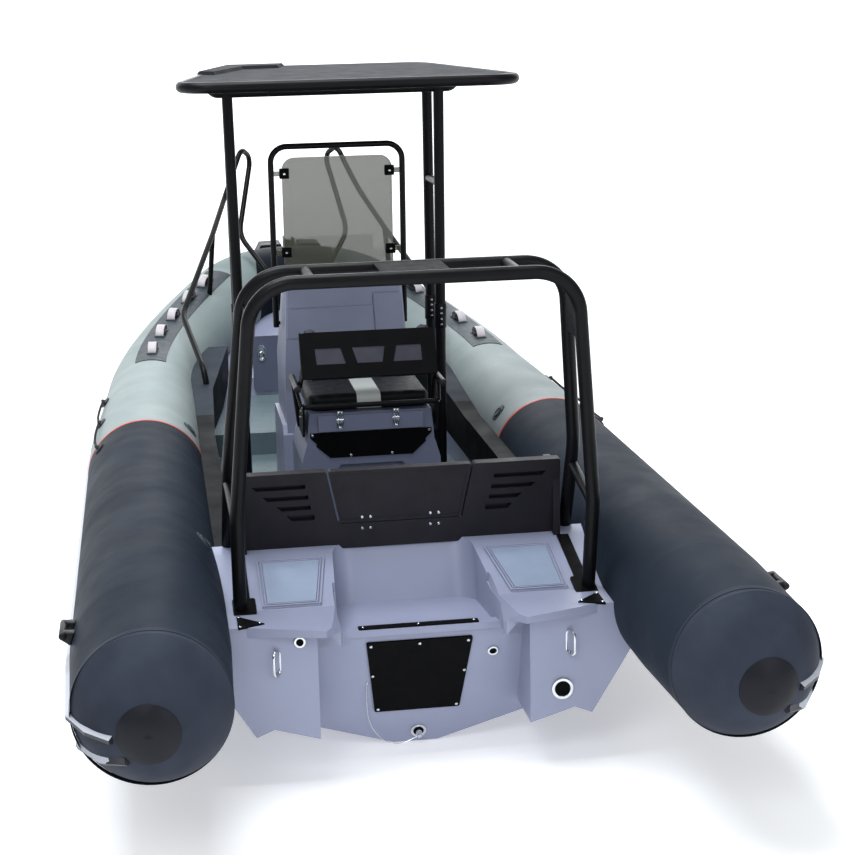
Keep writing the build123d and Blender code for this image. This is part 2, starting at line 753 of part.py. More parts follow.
with BuildPart() as dash_panels:
    for corners in DASH_PANELS:
        with BuildSketch(dash_plane) as dash_face:
            with BuildLine():
                Polyline(*[(x, up + 8) for x, up in corners], close=True)
            make_face()
            fillet(dash_face.vertices(), 4)
        extrude(amount=DASH_T)
    add(console.part, mode=Mode.SUBTRACT)
keep("dash_panels", dash_panels)

SCREEN_R = 14
SCREEN_HALF = 312
SCREEN_TOP = 1745
SCREEN_Y_FOOT = 2440
SCREEN_Y_TOP = 2395
SCREEN_T = 6
SCREEN_W = 262

with BuildPart() as screen_hoop:
    pipe(
        *pipe_route((
            (SCREEN_HALF, SCREEN_Y_FOOT + 20, 880, 0),
            (SCREEN_HALF, SCREEN_Y_FOOT, 1120, 300),
            (SCREEN_HALF, SCREEN_Y_TOP, SCREEN_TOP, 75),
        )),
        SCREEN_R,
    )
    for side in (1, -1):
        for y, z in ((SCREEN_Y_FOOT + 18, 900), (SCREEN_Y_FOOT + 2, 1090)):
            pipe([(side * CONSOLE_HALF, y, z), (side * (SCREEN_HALF), y, z)], [], 9)
keep("screen_hoop", screen_hoop)

screen_up = Vector(0, SCREEN_Y_TOP - SCREEN_Y_FOOT, SCREEN_TOP - 1120).normalized()
screen_plane = Plane(
    origin=(0, SCREEN_Y_FOOT, 1120), x_dir=(1, 0, 0), z_dir=Vector(1, 0, 0).cross(screen_up)
)
with BuildPart() as screen:
    with BuildSketch(screen_plane):
        with BuildLine():
            Polyline((-SCREEN_W, 0), (SCREEN_W, 0), (SCREEN_W, 575), (-SCREEN_W, 575), close=True)
        make_face()
        fillet(vertices().group_by(Axis.Y)[-1], 60)
    extrude(amount=SCREEN_T)
    for z in (123, 500):
        for x in (-SCREEN_HALF + SCREEN_R, SCREEN_HALF - SCREEN_R):
            with BuildSketch(screen_plane):
                with Locations((x, z)):
                    Rectangle(110, 24)
            extrude(amount=SCREEN_T)
    add(screen_hoop.part, mode=Mode.SUBTRACT)
with BuildPart() as screen_one:
    add(screen.part.solids().sort_by(SortBy.VOLUME)[-1])
keep("screen", screen_one)

WHEEL_Z = 650
WHEEL_Y = 2246
WHEEL_R = 165
WHEEL_TILT = 20
wheel_axis = Vector(0, -cos(radians(WHEEL_TILT)), sin(radians(WHEEL_TILT)))
wheel_plane = Plane(origin=(0, WHEEL_Y, WHEEL_Z), x_dir=(1, 0, 0), z_dir=wheel_axis)

with BuildPart() as wheel_hub:
    with BuildSketch(wheel_plane.offset(-60)):
        Circle(32)
    extrude(amount=140)
    add(console.part, mode=Mode.SUBTRACT)
with BuildPart() as wheel_mount:
    add(wheel_hub.part.solids().sort_by(Axis.Y)[0])
keep("wheel_mount", wheel_mount)

with BuildPart() as steering_wheel:
    with BuildSketch(wheel_plane.offset(81)):
        Circle(38)
    extrude(amount=30)
    with Locations(wheel_plane.offset(111)):
        Torus(WHEEL_R, 14)
    for turn in (90, 210, 330):
        arm = Vector(cos(radians(turn)), sin(radians(turn)), 0)
        with Locations(wheel_plane.offset(101)):
            with Locations(Location((arm.X * 92, arm.Y * 92, 0), (0, 0, turn))):
                Box(140, 24, 10)
keep("steering_wheel", steering_wheel)

# ---- Helm seat -------------------------------------------------------------------------------------

SEAT_HALF = 285
SEAT_AFT = 1312
SEAT_FORE = 1830
SEAT_TOP = 690
HATCH_LOW = 612
HATCH_HALF = 226
HATCH_T = 14
SEAT_WALL = 26
SEAT_PLATE_HALF = SEAT_HALF - 23
SEAT_NOTCH = ((-150, 440), (150, 440), (132, 462), (-132, 462))

with BuildPart() as seat_box:
    with BuildSketch(Plane.XY.offset(SOLE_Z)):
        with Locations((0, (SEAT_AFT + SEAT_FORE) / 2)):
            Rectangle(2 * SEAT_HALF + 30, SEAT_FORE - SEAT_AFT)
    extrude(amount=SEAT_TOP - SOLE_Z)
    # the sides draw in above the shoulder
    with BuildSketch(Plane.XZ.offset(-SEAT_AFT)):
        for side in (1, -1):
            with BuildLine():
                Polyline(
                    (side * (SEAT_HALF + 16), 470), (side * (SEAT_HALF + 16), SEAT_TOP + 1),
                    (side * (SEAT_HALF - 22), SEAT_TOP + 1), (side * (SEAT_HALF - 10), 560), (side * (SEAT_HALF + 8), 500),
                    close=True,
                )
            make_face()
    extrude(amount=-(SEAT_FORE - SEAT_AFT), mode=Mode.SUBTRACT)
    # the locker behind the hatch, and the hand slot under the plate
    with BuildSketch(Plane.XZ.offset(-SEAT_AFT)):
        with Locations((0, (HATCH_LOW + 14 + SEAT_TOP - SEAT_WALL) / 2)):
            Rectangle(2 * HATCH_HALF - 28, SEAT_TOP - SEAT_WALL - HATCH_LOW - 14)
    extrude(amount=-60, mode=Mode.SUBTRACT)
    with BuildSketch(Plane.XY.offset(SOLE_Z + 260)):
        with Locations((0, (SEAT_AFT + SEAT_FORE) / 2)):
            Rectangle(2 * HATCH_HALF - 28, SEAT_FORE - SEAT_AFT - 60)
    extrude(amount=SEAT_TOP - SEAT_WALL - SOLE_Z - 260, mode=Mode.SUBTRACT)
    with BuildSketch(Plane.XZ.offset(-SEAT_AFT)):
        with BuildLine():
            Polyline(*SEAT_NOTCH, close=True)
        make_face()
    extrude(amount=-20, mode=Mode.SUBTRACT)
keep("seat_box", seat_box)

with BuildPart() as seat_hatch:
    with BuildSketch(Plane.XZ.offset(-SEAT_AFT)) as hatch_face:
        with Locations((0, (HATCH_LOW + SEAT_TOP - 8) / 2)):
            Rectangle(2 * HATCH_HALF, SEAT_TOP - 8 - HATCH_LOW)
        fillet(hatch_face.vertices(), 6)
    extrude(amount=HATCH_T)
keep("seat_hatch", seat_hatch)

with BuildPart() as seat_plate:
    with BuildSketch(Plane.XZ.offset(-SEAT_AFT)):
        with BuildLine():
            Polyline(
                (-SEAT_PLATE_HALF, 606), (SEAT_PLATE_HALF, 606), (SEAT_PLATE_HALF, 585), (SEAT_PLATE_HALF - 26, 560),
                (SEAT_PLATE_HALF - 26, 546), (SEAT_PLATE_HALF - 84, 494), (-SEAT_PLATE_HALF + 84, 494),
                (-SEAT_PLATE_HALF + 26, 546), (-SEAT_PLATE_HALF + 26, 560), (-SEAT_PLATE_HALF, 585), close=True,
            )
        make_face()
    extrude(amount=4)
keep("seat_plate", seat_plate)

CUSHION_AFT = SEAT_AFT + 33
with BuildPart() as seat_cushion:
    with BuildSketch(Plane.XY.offset(SEAT_TOP)):
        with Locations((0, (CUSHION_AFT + SEAT_FORE + 20) / 2)):
            RectangleRounded(2 * SEAT_HALF - 30, SEAT_FORE + 20 - CUSHION_AFT, 50)
    extrude(amount=70)
    fillet(edges().group_by(Axis.Z)[-1], 24)
keep("seat_cushion", seat_cushion)

ARM_X = SEAT_HALF + 27
ARM_Z = SEAT_TOP + 115
ARM_R = 15
ARM_AFT = SEAT_AFT - 37
ARM_FORE = SEAT_AFT + 248
BACK_PIVOT_Y = SEAT_AFT + 108
SEAT_RAIL_X = SEAT_HALF + 5
SEAT_RAIL_Y = SEAT_AFT - 14
SEAT_RAIL_Z = SEAT_TOP + 33
SEAT_RAIL_R = 11
BRACKET_SIDE = (
    (SEAT_RAIL_Y - 14, SEAT_RAIL_Z + 13), (SEAT_RAIL_Y + 14, SEAT_RAIL_Z + 13), (ARM_FORE, SEAT_TOP - 50),
    (ARM_FORE, SEAT_TOP - 100), (SEAT_AFT + 4, SEAT_TOP - 100), (SEAT_RAIL_Y - 12, SEAT_TOP),
)

with BuildPart() as seat_arms:
    for side in (1, -1):
        pipe([(side * ARM_X, ARM_AFT, ARM_Z), (side * ARM_X, ARM_FORE, ARM_Z)], [], ARM_R)
        pipe(
            [(side * (SEAT_HALF + 11), SEAT_RAIL_Y, SEAT_RAIL_Z), (side * ARM_X, BACK_PIVOT_Y - 10, ARM_Z)], [], 8
        )
        pipe(
            [(side * SEAT_RAIL_X, ARM_FORE - 60, SEAT_TOP - 90), (side * ARM_X, ARM_FORE - 60, ARM_Z)],
            [], SEAT_RAIL_R,
        )
        # the bracket the rail ends in, bolted to the side of the box
        with BuildSketch(Plane.YZ.offset(side * (SEAT_HALF + 3))):
            with BuildLine():
                Polyline(*BRACKET_SIDE, close=True)
            make_face()
        extrude(amount=5, both=True)
    pipe(
        [(-SEAT_RAIL_X, SEAT_RAIL_Y, SEAT_RAIL_Z), (SEAT_RAIL_X, SEAT_RAIL_Y, SEAT_RAIL_Z)], [], SEAT_RAIL_R
    )
    add(seat_box.part, mode=Mode.SUBTRACT)
keep("seat_arms", seat_arms)

BACK_FOOT_Y = SEAT_AFT - 48
BACK_FOOT_Z = ARM_Z + 47
BACK_RUN = 107
BACK_RISE = 180
BACK_LONG = 209
BACK_PLATE_T = 8
BACK_PAD_T = 62
BACK_HALF = SEAT_HALF
BACK_PLATE = (
    (-BACK_HALF + 1, 0), (BACK_HALF - 1, 0), (BACK_HALF, 205), (BACK_HALF - 21, BACK_LONG),
    (-BACK_HALF + 21, BACK_LONG), (-BACK_HALF, 205),
)
BACK_WINDOWS = (
    ((-224, 62), (-99, 62), (-118, 137), (-228, 137)),
    ((-50, 62), (57, 62), (72, 137), (-69, 137)),
    ((103, 62), (228, 62), (228, 137), (122, 137)),
)
# half of the pad's outline, from the foot to the dip between its two horns
BACK_PAD_HALF = (
    (BACK_HALF - 21, 6), (BACK_HALF - 5, 190), (BACK_HALF - 9, 228), (BACK_HALF - 39, 236),
    (BACK_HALF - 59, 226), (BACK_HALF - 79, 200),
)
BACK_PAD = (*BACK_PAD_HALF, *[(-x, up) for x, up in reversed(BACK_PAD_HALF)])
back_up = Vector(0, BACK_RUN, BACK_RISE).normalized()
back_plane = Plane(
    origin=(0, BACK_FOOT_Y, BACK_FOOT_Z), x_dir=(1, 0, 0), z_dir=Vector(1, 0, 0).cross(back_up)
)

with BuildPart() as back_frame:
    with BuildSketch(back_plane):
        with BuildLine():
            Polyline(*BACK_PLATE, close=True)
        make_face()
        for window in BACK_WINDOWS:
            with BuildLine():
                Polyline(*window, close=True)
            make_face(mode=Mode.SUBTRACT)
    extrude(amount=-BACK_PLATE_T)
    # side cheeks reaching down and forward to the pivots
    for side in (1, -1):
        with BuildSketch(Plane.YZ.offset(side * (BACK_HALF + 1))):
            with BuildLine():
                Polyline(
                    (BACK_FOOT_Y + 2, BACK_FOOT_Z), (BACK_FOOT_Y + 36, BACK_FOOT_Z - 8),
                    (BACK_PIVOT_Y - 20, ARM_Z - 18), (BACK_PIVOT_Y + 18, ARM_Z - 18),
                    (BACK_PIVOT_Y + 18, ARM_Z + 18), (BACK_FOOT_Y + 66, BACK_FOOT_Z + 38),
                    (BACK_FOOT_Y + 128, BACK_FOOT_Z + 158), (BACK_FOOT_Y + BACK_RUN, BACK_FOOT_Z + BACK_RISE),
                    close=True,
                )
            make_face()
        extrude(amount=4, both=True)
        pipe([(side * (BACK_HALF - 3), BACK_PIVOT_Y, ARM_Z), (side * (ARM_X - 16), BACK_PIVOT_Y, ARM_Z)], [], 9)
keep("back_frame", back_frame)

with BuildPart() as backrest:
    with BuildSketch(back_plane.offset(-BACK_PLATE_T)) as pad_face:
        with BuildLine():
            Polyline(*BACK_PAD, close=True)
        make_face()
        fillet(pad_face.vertices().group_by(Axis.Y)[0], 20)
    extrude(amount=-BACK_PAD_T)
    add(back_frame.part, mode=Mode.SUBTRACT)
with BuildPart() as backrest_one:
    add(backrest.part.solids().sort_by(SortBy.VOLUME)[-1])
keep("backrest", backrest_one)

# ---- Foredeck and its locker -----------------------------------------------------------------------

FOREDECK_AFT = COCKPIT_FORE
FOREDECK_AFT_Z = 556
FOREDECK_FORE = 5450
FOREDECK_FORE_Z = 700
DOOR_LAP = 12
DOOR_T = 16

with BuildPart() as foredeck_block:
    with BuildSketch(Plane.XY.offset(SOLE_Z - SOLE_T)):
        with BuildLine():
            Polyline(
                (0, FOREDECK_AFT), (820, FOREDECK_AFT), (640, 4760), (380, 5200), (0, 5380), close=True
            )
        make_face()
        mirror(about=Plane.YZ)
    extrude(amount=900)
    with BuildSketch(Plane.YZ):
        with BuildLine():
            Polyline(
                (FOREDECK_AFT, 0), (FOREDECK_AFT, FOREDECK_AFT_Z), (FOREDECK_FORE, FOREDECK_FORE_Z),
                (FOREDECK_FORE, 0), close=True,
            )
        make_face()
    extrude(amount=900, both=True, mode=Mode.INTERSECT)
    add(locker.part, mode=Mode.SUBTRACT)
    add(hull.part, mode=Mode.SUBTRACT)
    add(tubes.part, mode=Mode.SUBTRACT)
with BuildPart() as foredeck:
    add(foredeck_block.part.solids().sort_by(SortBy.VOLUME)[-1])
keep("foredeck", foredeck)

with BuildPart() as locker_door:
    with BuildSketch(Plane.XZ.offset(-FOREDECK_AFT)):
        with Locations((0, (LOCKER_LOW + LOCKER_TOP) / 2)):
            RectangleRounded(2 * (LOCKER_HALF + DOOR_LAP), LOCKER_TOP - LOCKER_LOW + 2 * DOOR_LAP, 26)
    extrude(amount=DOOR_T)
keep("locker_door", locker_door)

# ---- Bow grab rails --------------------------------------------------------------------------------

RAIL_R = 16
RAIL_MAIN = (
    # x, y, z, bend radius at the corner
    (632, 3500, 380, 0),
    (640, 3500, 480, 120),
    (734, 4060, 705, 300),
    (519, 4789, 1066, 300),
    (403, 5234, 1283, 400),
    (300, 5340, 1528, 60),
    (235, 5480, 1462, 60),
    (340, 5240, 1001, 200),
    (193, 5060, 800, 60),
    (193, 5060, 640, 0),
)
RAIL_STRUT = ((519, 4789, 1066), (560, 4800, 640))

with BuildPart() as rail_starboard:
    pipe([(x, y, z) for x, y, z, r in RAIL_MAIN], [r for x, y, z, r in RAIL_MAIN[1:-1]], RAIL_R)
    pipe(RAIL_STRUT, [], RAIL_R - 1)
    for piece in (tubes, foredeck, coaming_pair, hull):
        add(piece.part, mode=Mode.SUBTRACT)
with BuildPart() as rail_one:
    add(rail_starboard.part.solids().sort_by(SortBy.VOLUME)[-1])
keep("rail_starboard", rail_one)

with BuildPart() as rail_port:
    mirror(rail_one.part, about=Plane.YZ)
keep("rail_port", rail_port)

# ---- Handle patches on the bow tubes ---------------------------------------------------------------

PATCH_T = 4
PATCH_FROM = 71
PATCH_TO = 110
PATCH_START = 0.0
PATCH_SHARE = 0.97


def patch_section(plane):
    """A strip lying on the tube's shoulder, as a thin arc in its section plane."""
    with BuildSketch(plane) as section:
        with BuildLine():
            CenterArc((0, 0), BOW_R, -PATCH_TO, PATCH_TO - PATCH_FROM)
            CenterArc((0, 0), BOW_R + PATCH_T, -PATCH_TO, PATCH_TO - PATCH_FROM)
            for degrees in (-PATCH_FROM, -PATCH_TO):
                Line(
                    (BOW_R * cos(radians(degrees)), BOW_R * sin(radians(degrees))),
                    ((BOW_R + PATCH_T) * cos(radians(degrees)), (BOW_R + PATCH_T) * sin(radians(degrees))),
                )
        make_face()
    return section.sketch


with BuildPart() as handle_patches:
    revolve(
        patch_section(SIDE_BEND.plane(PATCH_START)), SIDE_BEND.axis, SIDE_BEND.turn * (PATCH_SHARE - PATCH_START)
    )
    for piece in (tubes, rail_one, foredeck):
        add(piece.part, mode=Mode.SUBTRACT)
with BuildPart() as patch_pair:
    add(handle_patches.part.solids().sort_by(SortBy.VOLUME)[-1])
    add(mirror(patch_pair.part, about=Plane.YZ, mode=Mode.PRIVATE))
keep("handle_patches", patch_pair)

# ---- Bow platform ----------------------------------------------------------------------------------

PLATFORM_HALF = 220
PLATFORM_FORE = 5823
SHOULDER_LOW = 842
SHOULDER_TOP = 894

with BuildPart() as bow_platform:
    with BuildSketch(Plane.XY.offset(700)):
        with Locations((0, PLATFORM_FORE - 183)):
            RectangleRounded(2 * PLATFORM_HALF, 340, 60)
    extrude(amount=SHOULDER_LOW - 700)
    with BuildSketch(Plane.XZ.offset(-(PLATFORM_FORE - 250))):
        for side in (1, -1):
            with BuildLine():
                Polyline(
                    (side * 42, SHOULDER_LOW), (side * 58, SHOULDER_TOP), (side * 188, SHOULDER_TOP - 4),
                    (side * 214, SHOULDER_LOW), close=True,
                )
            make_face()
        # the cheeks of the roller between the shoulders
        for x in (-28, 28):
            with Locations((x, SHOULDER_LOW + 40)):
                Rectangle(7, 80)
    extrude(amount=-220)
    with BuildSketch(Plane.YZ):
        with Locations((PLATFORM_FORE - 120, SHOULDER_LOW + 38)):
            Circle(26)
    extrude(amount=26, both=True)
    add(tubes.part, mode=Mode.SUBTRACT)
with BuildPart() as platform_one:
    add(bow_platform.part.solids().sort_by(SortBy.VOLUME)[-1])
keep("bow_platform", platform_one)

for name, part in PIECES.items():
    export_step(part, f"parts/{name}.step")
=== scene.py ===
# %% [markdown]
# # A rigid inflatable boat, dressed for the studio
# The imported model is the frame: every node keeps its shape and gets a procedural material here, and
# the small fittings and the soft pieces are modelled on top of it. Everything is in metres, with
# X to starboard, Y to the bow and Z up from the waterline.

# %% load the frame
import bpy
import json
from math import cos, pi, radians, sin
from mathutils import Matrix, Vector

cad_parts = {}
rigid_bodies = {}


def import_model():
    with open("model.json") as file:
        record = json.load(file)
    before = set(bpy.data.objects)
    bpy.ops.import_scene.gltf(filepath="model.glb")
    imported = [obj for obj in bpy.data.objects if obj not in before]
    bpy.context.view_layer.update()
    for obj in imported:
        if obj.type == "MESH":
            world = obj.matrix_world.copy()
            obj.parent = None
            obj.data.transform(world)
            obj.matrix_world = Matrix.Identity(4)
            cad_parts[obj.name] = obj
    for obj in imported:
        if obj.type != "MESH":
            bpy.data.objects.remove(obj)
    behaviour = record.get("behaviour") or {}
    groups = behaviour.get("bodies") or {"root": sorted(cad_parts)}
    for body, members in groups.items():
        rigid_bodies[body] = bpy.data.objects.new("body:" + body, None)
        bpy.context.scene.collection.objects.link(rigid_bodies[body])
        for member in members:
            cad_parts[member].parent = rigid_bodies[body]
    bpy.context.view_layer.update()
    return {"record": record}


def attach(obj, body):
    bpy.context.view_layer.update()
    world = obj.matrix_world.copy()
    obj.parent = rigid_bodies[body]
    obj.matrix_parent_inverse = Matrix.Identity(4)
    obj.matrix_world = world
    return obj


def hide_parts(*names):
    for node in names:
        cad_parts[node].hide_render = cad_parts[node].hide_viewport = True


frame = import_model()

# %% [markdown]
# ## Materials
# Every finish is a principled shader with a few nodes in front of it. One small function adds a node
# and wires it, so a material reads as a short list of nodes. Colours are written as sRGB hex and are
# made linear in one place. Patterns run on object coordinates, so a millimetre in a material is a
# millimetre on the boat.

# %% colours and nodes
MM = 0.001


def linear(code, alpha=1.0):
    """A linear colour from a hex code such as 8f93a8."""
    parts = [int(code[i : i + 2], 16) / 255 for i in (0, 2, 4)]
    return [c / 12.92 if c <= 0.04045 else ((c + 0.055) / 1.055) ** 2.4 for c in parts] + [alpha]


class Paint:
    """A material being built: a principled shader and the nodes that feed it."""

    def __init__(self, name, rough, metal=0.0):
        self.material = bpy.data.materials.new(name)
        self.material.use_nodes = True
        self.tree = self.material.node_tree
        self.shader = self.tree.nodes["Principled BSDF"]
        self.shader.inputs["Roughness"].default_value = rough
        self.shader.inputs["Metallic"].default_value = metal
        self.place = self.add("TexCoord", {}, "Object")

    def add(self, kind, inputs, out=0, feeds=None, **settings):
        """Add a node: an input takes a value or another socket, and the output may feed the shader."""
        node = self.tree.nodes.new("ShaderNode" + kind)
        for name, value in settings.items():
            setattr(node, name, value)
        for slot, value in inputs.items():
            if isinstance(value, bpy.types.NodeSocket):
                self.tree.links.new(value, node.inputs[slot])
            else:
                node.inputs[slot].default_value = value
        if feeds:
            self.tree.links.new(node.outputs[out], self.shader.inputs[feeds])
        return node.outputs[out]


print("a mid grey in linear:", round(linear("808080")[0], 3))

# %% [markdown]
# No large surface on a boat is one flat colour: paint and fabric fade in slow patches, the gloss is
# uneven where hands and boots have been, and the skin has a grain. So one recipe mixes two close
# tones by a slow noise, swings the roughness by a quicker one, and presses a fine noise into the
# skin as bump. On a Mix node the inputs 6 and 7 are its two colours, and the output 2 is the mixed one.

# %% the recipe for a finish
BLOB_MIDDLE = {"From Min": 0.3, "From Max": 0.7}
finishes = {}


def shaded(name, dark, light, rough, grain, depth, metal=0.0, patch=0.35, rough_swing=0.08, shine=0.5):
    """Two tones in patches, a grain pressed to a depth, and a gloss that swings about its roughness."""
    paint = Paint(name, rough, metal)
    paint.shader.inputs["Specular IOR Level"].default_value = shine
    fade, gloss, skin = [
        paint.add("TexNoise", {"Vector": paint.place, "Scale": 1 / size, "Detail": detail, "Roughness": 0.6})
        for size, detail in ((patch, 5.0), (patch * 0.4, 6.0), (grain, 3.0))
    ]
    share = paint.add("MapRange", {"Value": fade, **BLOB_MIDDLE})
    paint.colour = paint.add(
        "Mix", {0: share, 6: linear(dark), 7: linear(light)}, 2, "Base Color", data_type="RGBA"
    )
    swing = {"To Min": rough - rough_swing, "To Max": rough + rough_swing}
    paint.add("MapRange", {"Value": gloss, **BLOB_MIDDLE, **swing}, 0, "Roughness")
    paint.add("Bump", {"Height": skin, "Distance": depth, "Strength": 1.0}, 0, "Normal")
    finishes[name] = paint
    return paint


# %% [markdown]
# The hull, the deck and the console are painted: sprayed polyurethane in blue-grey over aluminium
# and moulded laminate. It is satin with a slight orange peel of about 4 mm. The seat box carries the same
# paint a shade darker. The locker door and the foredeck are painted darker still: painted shade, for the
# shadow they stand in. The sole is the same again with anti-slip bars, which are a sine wave across the boat
# used as bump.

# %% paint and the ribbed sole
shaded("hull_paint", "858aa1", "9095ad", 0.4, 4 * MM, 0.12 * MM, patch=0.9)
shaded("dash_grey", "70748a", "7a7f95", 0.42, 2 * MM, 0.08 * MM, patch=0.3)
shaded("seat_paint", "5e6377", "686d82", 0.42, 4 * MM, 0.12 * MM, patch=0.5)
# Painted shade: the locker door and the foredeck take this darker paint for the shadow they stand in.
shaded("locker_paint", "4b5064", "565b70", 0.42, 4 * MM, 0.12 * MM, patch=0.5)

BAR_SPACING = 18 * MM
BAR_DEPTH = 0.9 * MM
sole = shaded("sole_grip", "56676d", "627379", 0.6, 3 * MM, 0.6 * MM)
across = sole.add("SeparateXYZ", {"Vector": sole.place}, "X")
phase = sole.add("Math", {0: across, 1: 2 * pi / BAR_SPACING}, operation="MULTIPLY")
wave = sole.add("Math", {0: phase}, operation="SINE")
bars = sole.add("MapRange", {"Value": wave, "From Min": -0.2, "From Max": 0.2})
sole.add("Bump", {"Height": bars, "Distance": BAR_DEPTH, "Strength": 1.0}, 0, "Normal")
print("paints", list(finishes))

# %% [markdown]
# The air tubes are rubber-coated fabric, calendered and cured: nearly matt, with the weave just
# showing at about 1.4 mm. Handling leaves sparse pale scuffs, which are the peaks of a rough noise.
# The dark tube is painted a little paler on the domes, in soft cloudy patches: this is painted sheen, the
# highlight of the overhead light on the domes' round tops.

# %% tube fabric
DOME_FROM = -0.858
PEAKS = {"From Min": 0.62, "From Max": 0.74, "To Max": 0.35}
WEAVE = 1.4 * MM


def scuffed(paint, code, size):
    """Lay sparse pale scuffs over a paint's colour."""
    wear = paint.add(
        "TexNoise", {"Vector": paint.place, "Scale": 1 / size, "Detail": 8.0, "Roughness": 0.75}
    )
    marks = paint.add("MapRange", {"Value": wear, **PEAKS})
    paint.colour = paint.add(
        "Mix", {0: marks, 6: paint.colour, 7: linear(code)}, 2, "Base Color", data_type="RGBA"
    )


light_tube = shaded("tube_light", "7b8787", "869393", 0.5, WEAVE, 0.15 * MM, patch=0.6, shine=0.3)
scuffed(light_tube, "a5b0af", 0.3)
dark_tube = shaded("tube_dark", "1d232c", "262d37", 0.5, WEAVE, 0.15 * MM, patch=0.6, shine=0.02)
scuffed(dark_tube, "3d444e", 0.25)
# Painted sheen: aft of DOME_FROM the domes are painted paler, in soft cloudy patches, for the highlight of
# the overhead light.
along = dark_tube.add("SeparateXYZ", {"Vector": dark_tube.place}, "Y")
on_dome = dark_tube.add("Math", {0: along, 1: DOME_FROM}, operation="LESS_THAN")
dome_sheen_cloud = dark_tube.add(
    "TexNoise", {"Vector": dark_tube.place, "Scale": 1 / 0.45, "Detail": 4.0, "Roughness": 0.6}
)
dome_sheen_cloud = dark_tube.add("MapRange", {"Value": dome_sheen_cloud, "From Min": 0.35, "From Max": 0.65})
panel = dark_tube.add("Mix", {0: dome_sheen_cloud, 6: linear("2c303a"), 7: linear("383d48")}, 2, data_type="RGBA")
dark_tube.add("Mix", {0: on_dome, 6: dark_tube.colour, 7: panel}, 2, "Base Color", data_type="RGBA")
print("fabric", light_tube.material.name, dark_tube.material.name)

# %% [markdown]
# The bow tube is the light fabric with a dark patch round its nose, cut at two seams. A test on the
# distance from the centreline gives the patch.

# %% nose patch
NOSE_HALF = 0.245
nose = shaded("bow_fabric", "7b8787", "869393", 0.5, WEAVE, 0.15 * MM, patch=0.6, shine=0.06)
off_middle = nose.add("SeparateXYZ", {"Vector": nose.place}, "X")
off_middle = nose.add("Math", {0: off_middle}, operation="ABSOLUTE")
in_patch = nose.add("Math", {0: off_middle, 1: NOSE_HALF}, operation="LESS_THAN")
nose.add("Mix", {0: in_patch, 6: nose.colour, 7: linear("161b22")}, 2, "Base Color", data_type="RGBA")
print("nose patch", 2 * NOSE_HALF, "m across")

# %% [markdown]
# Glued and moulded rubber: black loops and handles, the grey patches under the carrying straps, the
# orange tape between the colours, and the caps on the domes. All are natural rubber compounds with a
# soft, low shine. The straps are white webbing and the grab line is braided rope, both quite rough.

# %% rubber, rope and webbing
shaded("black_rubber", "0f0f13", "16161a", 0.5, 1.2 * MM, 0.2 * MM, shine=0.25)
shaded("patch_grey", "2d363c", "374148", 0.5, 1.2 * MM, 0.15 * MM, patch=0.1, shine=0.2)
shaded("navy", "14151a", "1b1c22", 0.4, 1.2 * MM, 0.1 * MM, patch=0.3, shine=0.14)
shaded("stripe", "b5402c", "c2492f", 0.5, 1.2 * MM, 0.1 * MM, patch=0.1)
shaded("strap", "b9b2b6", "cbc5c8", 0.65, 1 * MM, 0.3 * MM, patch=0.05)
shaded("rope", "0d0d10", "19191d", 0.8, 2 * MM, 0.6 * MM, patch=0.02, shine=0.2)
print("finishes so far", len(finishes))

# %% [markdown]
# The rubbing strakes are extruded navy rubber with a white line on their upper flank. A texture
# would need a map along the strake, so the line is found from the way a face looks instead: it is
# white where the face leans upward.

# %% white line on the strakes
LINE_TILT = 0.30
striped = shaded("striped_strake", "14161f", "1b1e29", 0.45, 1.2 * MM, 0.1 * MM, patch=0.3, shine=0.35)
facing = striped.add("TexCoord", {}, "Normal")
facing = striped.add("SeparateXYZ", {"Vector": facing}, "Z")
on_flank = striped.add("Math", {0: facing, 1: LINE_TILT}, operation="GREATER_THAN")
striped.add("Mix", {0: on_flank, 6: striped.colour, 7: linear("b4b8c1")}, 2, "Base Color", data_type="RGBA")
print("strake line above a tilt of", LINE_TILT)

# %% [markdown]
# The coaming boards are moulded and dull. They are painted nearly black, which is partly their own dark
# colour and partly painted shade of the cockpit's sides under the tubes, and forward of the seat their
# upward faces are painted slate as painted light from above. The colour goes by the way a face looks and by
# how far forward it is.

# %% coamings
TOP_TILT = 0.6
LIT_TOPS_FROM = 2.9
coaming = shaded("coaming", "07080a", "0c0e11", 0.6, 1.4 * MM, 0.15 * MM, patch=0.5, shine=0.05)
facing = coaming.add("TexCoord", {}, "Normal")
facing = coaming.add("SeparateXYZ", {"Vector": facing}, "Z")
# Painted light: upward faces forward of the seat turn slate-grey, lighter than the nearly black sides, which
# are partly painted shade.
on_top_face = coaming.add("Math", {0: facing, 1: TOP_TILT}, operation="GREATER_THAN")
along = coaming.add("SeparateXYZ", {"Vector": coaming.place}, "Y")
forward = coaming.add("Math", {0: along, 1: LIT_TOPS_FROM}, operation="GREATER_THAN")
slate = coaming.add("Math", {0: on_top_face, 1: forward}, operation="MULTIPLY")
coaming.add("Mix", {0: slate, 6: coaming.colour, 7: linear("2b323b")}, 2, "Base Color", data_type="RGBA")
print("slate tops from", LIT_TOPS_FROM, "m forward")

# %% [markdown]
# Pipe work is powder-coated aluminium: black, with a fine even texture and some gloss. The plates
# are black polyethylene board, duller, and the aft panel is the same board in dark grey. The hard
# top's skin is a coarse matt gelcoat. Screws, eyes and latches are polished stainless steel, which
# is the one bare metal here.

